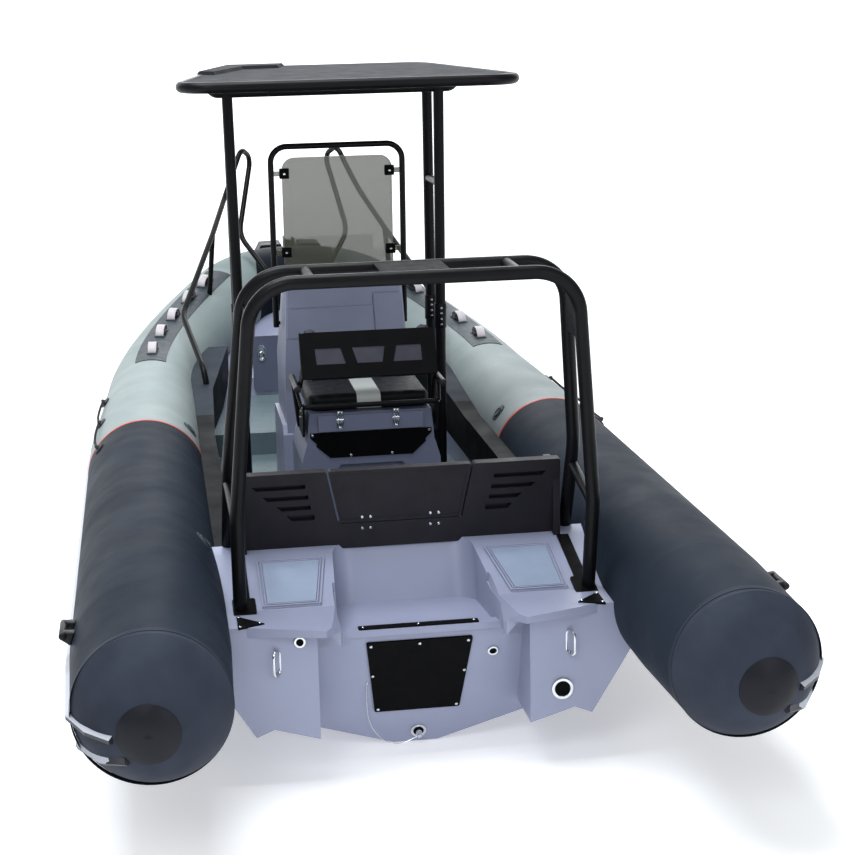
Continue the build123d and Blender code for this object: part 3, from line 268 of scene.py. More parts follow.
# %% pipe, board and steel
shaded("black_tube", "0a0a0c", "101013", 0.36, 1.0 * MM, 0.06 * MM, shine=0.12)
shaded("black_plate", "020203", "050506", 0.6, 2 * MM, 0.1 * MM, patch=0.1, shine=0.06)
shaded("panel_grey", "19181d", "222026", 0.5, 1.5 * MM, 0.08 * MM, patch=0.2, shine=0.2)
shaded("wheel_black", "0e0e10", "151518", 0.45, 1.5 * MM, 0.1 * MM, shine=0.3)
shaded("roof_black", "0d0f15", "171a22", 0.75, 3 * MM, 0.4 * MM, patch=0.25, shine=0.2)
shaded("steel", "c4c7cb", "d6d9dd", 0.2, 0.8 * MM, 0.03 * MM, metal=1.0)
print("finishes so far", len(finishes))

# %% [markdown]
# The seat is marine vinyl, embossed with a leather grain of about 1.8 mm. Its cushion has a broad
# silver band down the middle, which a test on the distance from the centreline gives. The screen is
# smoke-tinted acrylic: very smooth, and see-through by its alpha.

# %% vinyl and the tinted screen
BAND_HALF = 51.5 * MM
SCREEN_ALPHA = 0.68
shaded("vinyl", "0d0e11", "15161a", 0.45, 1.8 * MM, 0.3 * MM, patch=0.08, shine=0.1)
shaded("back_vinyl", "2a2a33", "33333d", 0.45, 1.8 * MM, 0.3 * MM, patch=0.08, shine=0.2)
band = shaded("banded_vinyl", "0d0e11", "15161a", 0.45, 1.8 * MM, 0.3 * MM, patch=0.08, shine=0.1)
off_middle = band.add("SeparateXYZ", {"Vector": band.place}, "X")
off_middle = band.add("Math", {0: off_middle}, operation="ABSOLUTE")
in_band = band.add("Math", {0: off_middle, 1: BAND_HALF}, operation="LESS_THAN")
band.add("Mix", {0: in_band, 6: band.colour, 7: linear("b3b6b4")}, 2, "Base Color", data_type="RGBA")

screen = shaded("tinted", "55574c", "5d5f53", 0.05, 30 * MM, 0.01 * MM, rough_swing=0.01)
screen.shader.inputs["Alpha"].default_value = SCREEN_ALPHA
print("finishes", len(finishes))

# %% [markdown]
# Each node of the model names the slot it takes its finish from. A few nodes share a slot with a
# neighbour and still look different on the real boat, so they are given their own finish by name.

# %% dress the nodes
slots = {part["node"]: part["material_slot"] for part in frame["record"]["subparts"]}
OWN_FINISH = {
    "handle_patches": "patch_grey", "rub_strakes": "striped_strake", "tube_caps": "navy",
    "coamings": "coaming", "tube_bow": "bow_fabric", "roof": "roof_black", "locker_door": "locker_paint",
    "foredeck": "locker_paint", "seat_box": "seat_paint", "seat_hatch": "seat_paint",
    "backrest": "back_vinyl",
}


def dress(piece, paint):
    """Give a piece one material."""
    piece.data.materials.clear()
    piece.data.materials.append(paint.material)


for node, slot in slots.items():
    for piece in bpy.data.objects:
        if piece.type == "MESH" and (piece.name == node or piece.name.startswith(node + ".")):
            dress(piece, finishes[OWN_FINISH.get(node, slot)])
print("dressed", len(slots), "nodes")

# %% [markdown]
# ## Studio
# The backdrop is one white sheet: a floor just under the keel that sweeps up into a wall ahead of
# the bow, so no horizon shows. It is a plane whose far edge is spun up through a quarter turn and
# then extruded. The sheet glows more and more with distance, so that it stays white behind the boat
# and still takes a soft shadow near it.

# %% floor
EDGES = (False, True, False)
KEEL_Z = -0.342
FLOOR_GAP = 4 * MM
SHEET = 90
SHEET_BACK = 10
SWEEP_R = 8
WALL = 30
NEAR_GLOW, FAR_GLOW = 0.34, 1.05
GLOW_FROM, GLOW_TO = 7.0, 22.0
floor_z = KEEL_Z - FLOOR_GAP
bpy.ops.object.select_all(action="DESELECT")
bpy.ops.mesh.primitive_plane_add(size=SHEET, location=(0, -SHEET_BACK, floor_z))
floor = bpy.context.object
floor.name = "studio_floor"
bpy.context.tool_settings.mesh_select_mode = EDGES
for edge in floor.data.edges:
    edge.select = all(floor.data.vertices[i].co.y > 0 for i in edge.vertices)
for vertex in floor.data.vertices:
    vertex.select = vertex.co.y > 0
for face in floor.data.polygons:
    face.select = False
bpy.ops.object.mode_set(mode="EDIT")
bpy.ops.mesh.spin(
    steps=24, angle=-pi / 2, center=(0, SHEET / 2 - SHEET_BACK, floor_z + SWEEP_R), axis=(1, 0, 0)
)
bpy.ops.mesh.extrude_region_move(TRANSFORM_OT_translate={"value": (0, 0, WALL)})
bpy.ops.object.mode_set(mode="OBJECT")
bpy.ops.object.transform_apply(location=True)
bpy.ops.object.shade_smooth()

sheet = Paint("studio_floor", 0.95)
sheet.shader.inputs["Base Color"].default_value = linear("f2f2f3")
sheet.shader.inputs["Emission Color"].default_value = linear("ffffff")
along = sheet.add("SeparateXYZ", {"Vector": sheet.place}, "Y")
glow = {"From Min": GLOW_FROM, "From Max": GLOW_TO, "To Min": NEAR_GLOW, "To Max": FAR_GLOW}
sheet.add("MapRange", {"Value": along, **glow}, 0, "Emission Strength")
dress(floor, sheet)
print("backdrop rises to", round(max(v.co.z for v in floor.data.vertices), 1), "m")

# %% [markdown]
# The light is soft and slightly cool: a large lamp overhead makes the sheen along the tubes, one on
# each side astern lights the transom, and one ahead of the bow rims the rails. A dim even world
# fills the cockpit's shadows.

# %% lights
WORLD_GLOW = 0.42
COOL = (0.93, 0.97, 1.0)
LIGHTS = (
    # name, place, aim, size, power
    ("top", (-1.5, 1.0, 8.0), (0, 1, 0), 5.0, 820),
    ("key", (-3.5, -8.0, 7.0), (0, 0, 0), 4.0, 320),
    ("fill", (5.0, -9.0, 4.0), (0, 0, 0), 5.0, 230),
    ("bow", (1.5, 12.0, 7.0), (0, 3, 0), 6.0, 300),
)
world = bpy.data.worlds.new("studio")
bpy.context.scene.world = world
world.use_nodes = True
world.node_tree.nodes["Background"].inputs["Color"].default_value = linear("f4f7fb")
world.node_tree.nodes["Background"].inputs["Strength"].default_value = WORLD_GLOW
for name, place, aim, size, power in LIGHTS:
    lamp = bpy.data.lights.new(name, "AREA")
    lamp.size = size
    lamp.energy = power
    lamp.color = COOL
    light = bpy.data.objects.new(name, lamp)
    light.location = place
    light.rotation_euler = (Vector(aim) - Vector(place)).to_track_quat("-Z", "Y").to_euler()
    bpy.context.scene.collection.objects.link(light)
bpy.context.scene.view_settings.view_transform = "Standard"
print("lights", [name for name, *_ in LIGHTS])

# %% [markdown]
# The camera stands astern, a little to port and above the seat, on a long lens, and looks slightly
# down the boat. Its turn is built from a yaw, a pitch and a small roll, in that order.

# %% camera
CAMERA_PLACE = (-0.8927, -6.4675, 2.3865)
CAMERA_YAW = 0.145267
CAMERA_PITCH = 0.222974
CAMERA_ROLL = 0.023428
LENS_MM = 78.77
view = bpy.data.cameras.new("view")
view.lens = LENS_MM
view.sensor_width = 36.0
view.clip_end = 200.0
camera = bpy.data.objects.new("view", view)
bpy.context.scene.collection.objects.link(camera)
camera.matrix_world = (
    Matrix.Translation(CAMERA_PLACE)
    @ Matrix.Rotation(-CAMERA_YAW, 4, "Z")
    @ Matrix.Rotation(pi / 2 - CAMERA_PITCH, 4, "X")
    @ Matrix.Rotation(-CAMERA_ROLL, 4, "Z")
)
bpy.context.scene.camera = camera
print("camera", CAMERA_PLACE, "lens", LENS_MM, "mm")

# %% [markdown]
# ## Tools for the small pieces
# Every fitting starts from a primitive and is shaped in edit mode. An operator acts on all that is
# selected, so these helpers keep one piece selected at a time and pick its faces by their place or
# the way they look. Finishing is the same for all: smooth shading where the piece is round, a
# finish, and the body that it moves with. What repeats is modelled once, standing on the origin, and
# copied to its places by matrices.

# %% helpers for modelling
FACES = (False, False, True)


def only(piece):
    """Select one piece and nothing else."""
    bpy.ops.object.select_all(action="DESELECT")
    piece.select_set(True)
    bpy.context.view_layer.objects.active = piece


def fresh(kind, name, **settings):
    """Start a piece from a primitive, alone in the selection."""
    bpy.ops.object.select_all(action="DESELECT")
    getattr(bpy.ops.mesh, "primitive_" + kind + "_add")(**settings)
    piece = bpy.context.object
    piece.name = piece.data.name = name
    bpy.ops.object.transform_apply(location=True, rotation=True, scale=True)
    return piece


def pick(piece, test):
    """Go into edit mode with the faces selected that pass a test of centre and normal."""
    only(piece)
    bpy.context.tool_settings.mesh_select_mode = FACES
    for items in (piece.data.vertices, piece.data.edges):
        items.foreach_set("select", [False] * len(items))
    for face in piece.data.polygons:
        face.select = bool(test(face.center, face.normal))
    bpy.ops.object.mode_set(mode="EDIT")


def upward(centre, normal):
    """Whether a face looks up."""
    return normal.z > 0.9


def every(centre, normal):
    """Any face at all."""
    return True


def leave():
    """Leave edit mode."""
    bpy.ops.object.mode_set(mode="OBJECT")


def pull(x=0.0, y=0.0, z=0.0):
    """Extrude what is selected by a distance."""
    bpy.ops.mesh.extrude_region_move(TRANSFORM_OT_translate={"value": (x, y, z)})


def modify(piece, kind, **settings):
    """Add one modifier with its settings, and apply it."""
    only(piece)
    modifier = piece.modifiers.new(kind.lower(), kind)
    for key, value in settings.items():
        setattr(modifier, key, value)
    bpy.ops.object.modifier_apply(modifier=modifier.name)


def rounded(piece, width, segments=2):
    """Round a piece's sharp edges."""
    modify(piece, "BEVEL", width=width, segments=segments, limit_method="ANGLE", angle_limit=radians(40))


def stand(place, up, ahead=(0, 1, 0)):
    """A matrix that puts a piece's own Z along up and its own Y near ahead, at a place."""
    z = Vector(up).normalized()
    x = Vector(ahead).cross(z).normalized()
    y = z.cross(x)
    turn = Matrix((x, y, z)).transposed().to_4x4()
    return Matrix.Translation(place) @ turn


def done(piece, finish, body="boat", smooth=35):
    """Smooth a piece, give it its finish and the body it rides on."""
    only(piece)
    bpy.ops.object.shade_smooth_by_angle(angle=radians(smooth))
    dress(piece, finishes[finish])
    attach(piece, body)
    print(piece.name, len(piece.data.polygons), "faces on", body)
    return piece


def spread(piece, places, name, finish, body="boat"):
    """Copy a pattern to its places and join the copies."""
    copies = []
    for place in places:
        copy = piece.copy()
        copy.data = piece.data.copy()
        copy.data.transform(place)
        bpy.context.scene.collection.objects.link(copy)
        copies.append(copy)
    bpy.ops.object.select_all(action="DESELECT")
    for copy in copies:
        copy.select_set(True)
    bpy.context.view_layer.objects.active = copies[0]
    if len(copies) > 1:
        bpy.ops.object.join()
    joined = bpy.context.view_layer.objects.active
    joined.name = joined.data.name = name
    return done(joined, finish, body)


def drop(*patterns):
    """Remove patterns once their copies stand."""
    for pattern in patterns:
        bpy.data.objects.remove(pattern, do_unlink=True)


SIDES = ((1, "starboard"), (-1, "port"))


# %% [markdown]
# ## Screws
# The plates are held by stainless button-head screws with a socket. A head could be turned from a
# profile, but at this size a cylinder does: its top is inset and raised to a dome, then inset again
# and sunk for the socket. The same pattern serves all over the boat.

# %% the pattern for the screw heads
SCREW_R = 5.8 * MM
SCREW_H = 3 * MM
screw = fresh(
    "cylinder", "screw_pattern", vertices=16, radius=SCREW_R, depth=SCREW_H, location=(0, 0, SCREW_H / 2)
)
pick(screw, upward)
bpy.ops.mesh.inset(thickness=SCREW_R * 0.3)
bpy.ops.transform.translate(value=(0, 0, SCREW_H * 0.5))
bpy.ops.mesh.inset(thickness=SCREW_R * 0.28)
pull(z=-SCREW_H * 0.6)
leave()
print("a screw head has", len(screw.data.polygons), "faces")

# %% [markdown]
# The engine plate is screwed to the raked transom, the sill strip to the flat head of the transom,
# and the seat's black plate to the aft face of the box. A spot on the transom is found from its rake.

# %% screws on the engine plate, the sill and the seat plate
TRANSOM_TOP = Vector((0, -0.052, 0.150))
TRANSOM_RAKE = Vector((0, 192, -492)).normalized()
TRANSOM_OUT = Vector((0, TRANSOM_RAKE.z, -TRANSOM_RAKE.y))
ACROSS = (1, 0, 0)
AFT = (0, -1, 0)
UP = (0, 0, 1)


def on_transom(x, z, lift=0.0):
    """A spot on the raked transom at a height, lifted off it."""
    share = (TRANSOM_TOP.z - z) / -TRANSOM_RAKE.z
    spot = TRANSOM_TOP + TRANSOM_RAKE * share + TRANSOM_OUT * lift
    return Vector((x, spot.y, spot.z))


PLATE_T = 8 * MM
PLATE_SCREWS = (
    # x, z
    (-0.180, 0.113), (0.0, 0.113), (0.180, 0.113), (-0.171, -0.02), (0.171, -0.02), (-0.148, -0.174),
    (0.148, -0.174),
)
SILL_SCREWS = ((-0.205, -0.026, 0.178), (0.0, -0.026, 0.178), (0.205, -0.026, 0.178))
SEAT_PLATE_Y = 1.308
SEAT_PLATE_SCREWS = ((-0.252, 0.596), (0.252, 0.596), (-0.089, 0.503), (0.089, 0.503))
spread(
    screw, [stand(on_transom(x, z, PLATE_T), TRANSOM_OUT, ACROSS) for x, z in PLATE_SCREWS],
    "engine_plate_screws", "steel",
)
spread(screw, [stand(place, UP) for place in SILL_SCREWS], "sill_screws", "steel")
spread(
    screw, [stand((x, SEAT_PLATE_Y, z), AFT, ACROSS) for x, z in SEAT_PLATE_SCREWS],
    "seat_plate_screws", "steel",
)

# %% [markdown]
# The folding gate turns on two hinges, and each shows as a square of four bolt heads across the fold
# line: two on the fixed panel and two on the gate. The heads on the gate ride with it.

# %% hinge bolts
PANEL_BASE = Vector((0, 0.420, 0.370))
PANEL_UP = Vector((0, -0.046, 0.298)).normalized()
PANEL_OUT = Vector((0, -PANEL_UP.z, PANEL_UP.y))
HINGE_Z = 0.452
HINGE_X = 0.132
BOLT_STEP = 16 * MM
BOLTS_BELOW = 22 * MM
BOLTS_ABOVE = 24 * MM
HINGE_BOLTS = [x + side * BOLT_STEP for x in (-HINGE_X, HINGE_X) for side in (1, -1)]


def on_panel(x, z):
    """A spot on the leaning aft panel at a height."""
    spot = PANEL_BASE + PANEL_UP * ((z - PANEL_BASE.z) / PANEL_UP.z)
    return Vector((x, spot.y, spot.z))


for name, z, body in (
    ("panel_bolts", HINGE_Z - BOLTS_BELOW, "boat"), ("gate_bolts", HINGE_Z + BOLTS_ABOVE, "gate")
):
    spread(screw, [stand(on_panel(x, z), PANEL_OUT, ACROSS) for x in HINGE_BOLTS], name, "steel", body)

# %% [markdown]
# The gate is a thick board with a raised rim, set in from its edge. A curve could carry the rim, but
# a plane keeps its corners crisp: the plane takes the outline, is inset twice, and keeps only the
# ring between the two insets, which is given a thickness.

# %% rim on the gate


def border(name, corners, inset, width, height, matrix, finish, body="boat"):
    """A raised rim that follows an outline, set in from it."""
    rim = fresh("plane", name, size=1)
    for vertex, (x, y) in zip(rim.data.vertices, corners):
        vertex.co = (x, y, 0)
    pick(rim, every)
    bpy.ops.mesh.inset(thickness=inset)
    bpy.ops.mesh.select_all(action="INVERT")
    bpy.ops.mesh.delete(type="FACE")
    bpy.ops.mesh.select_all(action="SELECT")
    bpy.ops.mesh.inset(thickness=width)
    bpy.ops.mesh.delete(type="FACE")
    leave()
    modify(rim, "SOLIDIFY", thickness=height, offset=1)
    rounded(rim, height * 0.4)
    rim.data.transform(matrix)
    return done(rim, finish, body)


GATE_FOOT_HALF, GATE_FOOT_Z = 0.236, 0.458
GATE_HEAD_HALF, GATE_HEAD_Z = 0.272, 0.664
foot = (GATE_FOOT_Z - PANEL_BASE.z) / PANEL_UP.z
head = (GATE_HEAD_Z - PANEL_BASE.z) / PANEL_UP.z
gate_outline = (
    (-GATE_FOOT_HALF, foot), (GATE_FOOT_HALF, foot), (-GATE_HEAD_HALF, head), (GATE_HEAD_HALF, head)
)
border(
    "gate_rim", gate_outline, 10 * MM, 6 * MM, 1.5 * MM, stand(PANEL_BASE, PANEL_OUT, PANEL_UP),
    "panel_grey", "gate",
)

# %% [markdown]
# ## Deck pads
# The two flat pads on the aft deck carry a moulded anti-slip field inside a double raised border. The
# field's tone, a little paler and bluer than the deck, is painted reflection of the light on the pads'
# upward faces. The border is the helper's ring again, at two insets, and the field is the middle of the same
# outline with a millimetre of thickness.

# %% anti-slip fields and their borders
DECK_FOOT = Vector((0, -0.008, 0.263))
DECK_UP = Vector((0, 0.408, 0.099)).normalized()
DECK_OUT = Vector((0, -DECK_UP.z, DECK_UP.y))
PAD_TOP = 9 * MM
PAD_INNER_FOOT, PAD_INNER_HEAD, PAD_OUTER = 0.349, 0.303, 0.566
PAD_FOOT, PAD_HEAD = 0.010, 0.343
FIELD_INSET, FIELD_T = 22 * MM, 1.2 * MM
# Painted reflection: the field's bluer tone stands for the light that the upward pads reflect.
shaded("pad_field", "7b879c", "8591a7", 0.42, 2.2 * MM, 0.5 * MM, patch=0.2)
for side, word in SIDES:
    low = sorted((side * PAD_INNER_FOOT, side * PAD_OUTER))
    high = sorted((side * PAD_INNER_HEAD, side * PAD_OUTER))
    outline = ((low[0], PAD_FOOT), (low[1], PAD_FOOT), (high[0], PAD_HEAD), (high[1], PAD_HEAD))
    lifted = stand(DECK_FOOT + DECK_OUT * PAD_TOP, DECK_OUT, DECK_UP)
    border("pad_rim_" + word, outline, 2 * MM, 6 * MM, 2.2 * MM, lifted, "hull_paint")
    border("pad_inner_rim_" + word, outline, 14 * MM, 5 * MM, 1.8 * MM, lifted, "hull_paint")
    field = fresh("plane", "pad_field_" + word, size=1)
    for vertex, (x, y) in zip(field.data.vertices, outline):
        vertex.co = (x, y, 0)
    pick(field, every)
    bpy.ops.mesh.inset(thickness=FIELD_INSET)
    bpy.ops.mesh.select_all(action="INVERT")
    bpy.ops.mesh.delete(type="FACE")
    leave()
    modify(field, "SOLIDIFY", thickness=FIELD_T, offset=1)
    field.data.transform(lifted)
    done(field, "pad_field")

# %% [markdown]
# ## Stern fittings
# A black corner plate with three screws stiffens each aft corner of the deck. It is a plane with two
# of its corners merged to make a triangle, laid on the deck's slope, which a ray from above finds,
# and then given a thickness and a soft edge.

# %% corner plates
RAY_FROM = 3.0


def on_top(node, x, y):
    """The highest spot of a node at a place seen from above, and the way its face looks."""
    return bpy.data.objects[node].ray_cast(Vector((x, y, RAY_FROM)), Vector((0, 0, -1)))[1:3]


PLATE_CORNERS = ((0.566, -0.150), (0.662, -0.060), (0.662, -0.188))
CORNER_LIFT = 1.5 * MM
CORNER_T = 8 * MM
SCREW_LIFT = 5 * MM
SCREW_INSET = 0.26
for side, word in SIDES:
    plate = fresh("plane", "corner_plate_" + word, size=1)
    middle = sum((Vector(c) for c in PLATE_CORNERS), Vector((0, 0))) / 3
    origin, facing = on_top("aft_deck", side * middle.x, middle.y)
    order = (0, 2, 1, 1) if side > 0 else (0, 1, 2, 2)
    for vertex, corner in zip(plate.data.vertices, order):
        x, y = PLATE_CORNERS[corner]
        vertex.co = origin + Vector((side * x - origin.x, y - origin.y, 0))
        vertex.co.z -= (vertex.co - origin).dot(facing) / facing.z
    only(plate)
    bpy.ops.object.mode_set(mode="EDIT")
    bpy.ops.mesh.select_all(action="SELECT")
    bpy.ops.mesh.remove_doubles(threshold=0.0001)
    bpy.ops.mesh.normals_make_consistent(inside=False)
    leave()
    plate.data.transform(Matrix.Translation(facing * CORNER_LIFT))
    modify(plate, "SOLIDIFY", thickness=CORNER_T, offset=0)
    rounded(plate, CORNER_T / 4)
    done(plate, "black_plate")
    spots = []
    for x, y in PLATE_CORNERS:
        inner = Vector((x, y)).lerp(middle, SCREW_INSET)
        step = Vector((side * inner.x - origin.x, inner.y - origin.y, 0))
        step.z = -step.dot(facing) / facing.z
        spots.append(stand(origin + step + facing * SCREW_LIFT, facing))
    spread(screw, spots, "corner_screws_" + word, "steel")

# %% [markdown]
# Each pod carries a towing eye: a bent stainless rod, longer than wide, held by two nuts. It starts
# as a torus whose upper half is moved up, which draws the ring out into a link.

# %% towing eyes
POD_Y = -0.172
EYE_X, EYE_Z = 0.531, 0.095
EYE_RISE = 52 * MM
EYE_OUT = 14 * MM
EYE_TURN_X, EYE_TURN_Y = -0.82, -0.55
EYE_NUTS_Z = (0.078, 0.165)
for side, word in SIDES:
    eye = fresh(
        "torus", "stern_eye_" + word, major_radius=21 * MM, minor_radius=5.2 * MM, major_segments=32,
        minor_segments=10,
    )
    pick(eye, lambda centre, normal: centre.y > 0)
    bpy.ops.transform.translate(value=(0, EYE_RISE, 0))
    leave()
    turned = (side * EYE_TURN_X, EYE_TURN_Y, 0)
    eye.data.transform(stand((side * EYE_X, POD_Y - EYE_OUT, EYE_Z), turned, UP))
    done(eye, "steel")
    spread(
        screw, [stand((side * EYE_X, POD_Y, z), AFT, ACROSS) for z in EYE_NUTS_Z],
        "stern_eye_nuts_" + word, "steel",
    )

# %% [markdown]
# The cockpit drains through flanged rings in the transom: one large scupper, two small outlets and
# the seat of the drain plug. A ring is a cylinder whose top is inset and sunk, and a black core stands in it
# as painted shade, the darkness inside the hole. The plug is a stepped cylinder with a finger grip.

# %% rings, outlets and the drain plug
CORE_GAP = 0.4 * MM


def ring_port(name, radius, lip, depth, place, out):
    """A flanged steel ring whose middle is sunk, with a black core as painted shade in the hole."""
    ring = fresh("cylinder", name, vertices=40, radius=radius, depth=depth, location=(0, 0, depth / 2))
    pick(ring, upward)
    bpy.ops.mesh.inset(thickness=lip)
    pull(z=-depth * 0.7)
    leave()
    rounded(ring, depth * 0.2)
    ring.data.transform(stand(place, out, ACROSS))
    done(ring, "steel")
    # Painted shade: a black disc stands in the ring for the dark inside of the hole.
    hole_shade = fresh(
        "cylinder", name + "_core", vertices=32, radius=radius - lip - CORE_GAP, depth=depth * 0.7,
        location=(0, 0, depth * 0.35),
    )
    pick(hole_shade, upward)
    bpy.ops.mesh.inset(thickness=(radius - lip) * 0.3)
    pull(z=-depth * 0.25)
    leave()
    hole_shade.data.transform(stand(place, out, ACROSS))
    done(hole_shade, "black_plate")


DRAIN = (0.009, -0.292)
PORTS = (
    # name, radius, lip, depth, place, the way it looks
    ("scupper", 40 * MM, 11 * MM, 8 * MM, (0.502, POD_Y, -0.056), AFT),
    ("outlet_port", 21 * MM, 8 * MM, 7 * MM, (-0.447, POD_Y, 0.192), AFT),
    ("outlet_starboard", 21 * MM, 8 * MM, 7 * MM, on_transom(0.276, 0.053), TRANSOM_OUT),
    ("drain_seat", 30 * MM, 10 * MM, 6 * MM, on_transom(*DRAIN), TRANSOM_OUT),
)
PLUG_R, PLUG_H = 12 * MM, 26 * MM
for port in PORTS:
    ring_port(*port)
plug = fresh(
    "cylinder", "drain_plug", vertices=24, radius=PLUG_R, depth=PLUG_H, location=(0, 0, PLUG_H / 2)
)
pick(plug, upward)
bpy.ops.mesh.inset(thickness=3 * MM)
pull(z=8 * MM)
leave()
rounded(plug, 1.2 * MM)
plug.data.transform(stand(on_transom(*DRAIN, 2 * MM), TRANSOM_OUT, ACROSS))
done(plug, "steel")

# %% [markdown]
# The plug's keeper is thin spring wire, fixed by a screw beside the plate and at the plug. It is
# stiff enough to hold its own bow, so it isn't a hanging cord: it is a curve with a round bevel,
# made a mesh.

# %% keeper wire


def wire(name, points, radius, finish):
    """A round wire or rod along a smooth curve that its control points steer."""
    curve = bpy.data.curves.new(name, "CURVE")
    curve.dimensions = "3D"
    curve.bevel_depth = radius
    curve.bevel_resolution = 3
    curve.resolution_u = 10
    curve.use_fill_caps = True
    line = curve.splines.new("NURBS")
    line.points.add(len(points) - 1)
    for point, place in zip(line.points, points):
        point.co = (*place, 1.0)
    line.order_u = 3
    line.use_endpoint_u = True
    drawn = bpy.data.objects.new(name, curve)
    bpy.context.scene.collection.objects.link(drawn)
    only(drawn)
    bpy.ops.object.convert(target="MESH")
    piece = bpy.context.object
    piece.name = piece.data.name = name
    return done(piece, finish)


KEEPER = (
    # x, z, lift off the transom
    (-0.191, -0.056, 0.004), (-0.195, -0.13, 0.012), (-0.18, -0.24, 0.022), (-0.12, -0.315, 0.03),
    (-0.05, -0.325, 0.034), (0.0, -0.30, 0.026),
)
wire("keeper_wire", [on_transom(*spot) for spot in KEEPER], 1.6 * MM, "steel")
spread(screw, [stand(on_transom(*KEEPER[0][:2]), TRANSOM_OUT, ACROSS)], "keeper_screw", "steel")

# %% [markdown]
# ## Seat cushion and backrest
# Both are foam under sewn vinyl. A bevelled box would look hard, so each one is blown up as cloth:
# it starts as a copy of the plain block, a little smaller, is remeshed to an even grid, and swells
# under pressure for twenty frames, so that its faces crown and its edges stay soft. The swelling is
# capped, so the piece still sits where the block sat.

# %% inflate the soft pieces
FOAM_INSET = 4 * MM
FOAM_GRID = 6 * MM
FOAM_PRESSURE = 4.0
FOAM_CAP = 5 * MM
SKIN_STIFF, SKIN_BEND = 20, 2
FRAMES = 20


def inflated(node, name):
    """A copy of a plain soft block, puffed as cloth, with its swelling capped."""
    source = bpy.data.objects[node]
    piece = source.copy()
    piece.data = source.data.copy()
    piece.name = piece.data.name = name
    bpy.context.scene.collection.objects.link(piece)
    only(piece)
    bpy.ops.object.mode_set(mode="EDIT")
    bpy.ops.mesh.select_all(action="SELECT")
    bpy.ops.mesh.remove_doubles(threshold=0.00005)
    bpy.ops.mesh.normals_make_consistent(inside=False)
    leave()
    box = [Vector(c) for c in piece.bound_box]
    middle = (min(box, key=sum) + max(box, key=sum)) / 2
    size = max(box, key=sum) - min(box, key=sum)
    scale = [(length - 2 * FOAM_INSET) / length for length in size]
    piece.data.transform(
        Matrix.Translation(middle) @ Matrix.Diagonal((*scale, 1)) @ Matrix.Translation(-middle)
    )
    modify(piece, "REMESH", mode="VOXEL", voxel_size=FOAM_GRID)
    rest = [v.co.copy() for v in piece.data.vertices]
    cloth = piece.modifiers.new("cloth", "CLOTH")
    cloth.settings.use_pressure = True
    cloth.settings.uniform_pressure_force = FOAM_PRESSURE
    cloth.settings.tension_stiffness = SKIN_STIFF
    cloth.settings.compression_stiffness = SKIN_STIFF
    cloth.settings.bending_stiffness = SKIN_BEND
    cloth.settings.effector_weights.gravity = 0
    cloth.collision_settings.use_collision = False
    for step in range(1, FRAMES + 1):
        bpy.context.scene.frame_set(step)
    only(piece)
    bpy.ops.object.modifier_apply(modifier="cloth")
    bpy.context.scene.frame_set(1)
    for vertex, start in zip(piece.data.vertices, rest):
        move = vertex.co - start
        if move.length > FOAM_CAP:
            vertex.co = start + move.normalized() * FOAM_CAP
    modify(piece, "SUBSURF", levels=1, render_levels=1)
    return piece


cushion = inflated("seat_cushion", "cushion_vinyl")
done(cushion, "banded_vinyl", smooth=60)
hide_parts("seat_cushion")
pad = inflated("backrest", "backrest_vinyl")
done(pad, "back_vinyl", "backrest", smooth=60)
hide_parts("backrest")

# %% [markdown]
# ## Seat hardware
# Two over-centre latches hold the hatch under the cushion. Each has a base plate and a lever with a
# bail, which open with the hatch, and a hook that stays on the box. The base is a flat cube raised
# and sunk by insets, the lever a cylinder, and the bail a torus drawn out as the towing eyes are.

# %% latches
LATCH_SIZE = (30 * MM, 46 * MM, 3 * MM)
LEVER_PLACE = (0, 20 * MM, 9 * MM)
BAIL_PLACE = (0, 33 * MM, 6 * MM)
HOOK_SIZE = (24 * MM, 14 * MM, 6 * MM)
HOOK_PLACE = (0, 50 * MM, 3 * MM)
latch = fresh("cube", "latch_pattern", size=1)
latch.data.transform(Matrix.Diagonal((*LATCH_SIZE, 1)))
pick(latch, upward)
bpy.ops.mesh.inset(thickness=5 * MM)
pull(z=6 * MM)
bpy.ops.transform.resize(value=(0.75, 0.9, 1))
bpy.ops.mesh.inset(thickness=2.5 * MM)
pull(z=-3 * MM)
leave()
rounded(latch, 1.2 * MM)
lever = fresh(
    "cylinder", "latch_lever", vertices=20, radius=4 * MM, depth=34 * MM, rotation=(0, pi / 2, 0),
    location=LEVER_PLACE,
)
bail = fresh(
    "torus", "latch_bail", major_radius=10 * MM, minor_radius=2.2 * MM, major_segments=24,
    minor_segments=8, location=BAIL_PLACE,
)
pick(bail, lambda centre, normal: centre.y > BAIL_PLACE[1])
bpy.ops.transform.translate(value=(0, 10 * MM, 0))
leave()
hook = fresh("cube", "latch_hook", size=1, location=HOOK_PLACE)
pick(hook, every)
bpy.ops.transform.resize(value=HOOK_SIZE, center_override=HOOK_PLACE)
leave()
rounded(hook, 2 * MM, 3)
HATCH_FACE_Y = 1.298
LATCH_Z = 0.642
LATCH_X = (-0.133, 0.108)
latch_spots = [stand((x, HATCH_FACE_Y, LATCH_Z), AFT, UP) for x in LATCH_X]
for piece, word in ((latch, "bases"), (lever, "levers"), (bail, "bails")):
    spread(piece, latch_spots, "latch_" + word, "steel", "seat_hatch")
spread(hook, latch_spots, "latch_hooks", "steel")
drop(latch, lever, bail, hook)

# %% [markdown]
# Moulded plugs close the ends of the arms' pipes, and four bolts hold each arm bracket. A plug is a
# short cylinder whose end is inset and pushed out to a low crown.

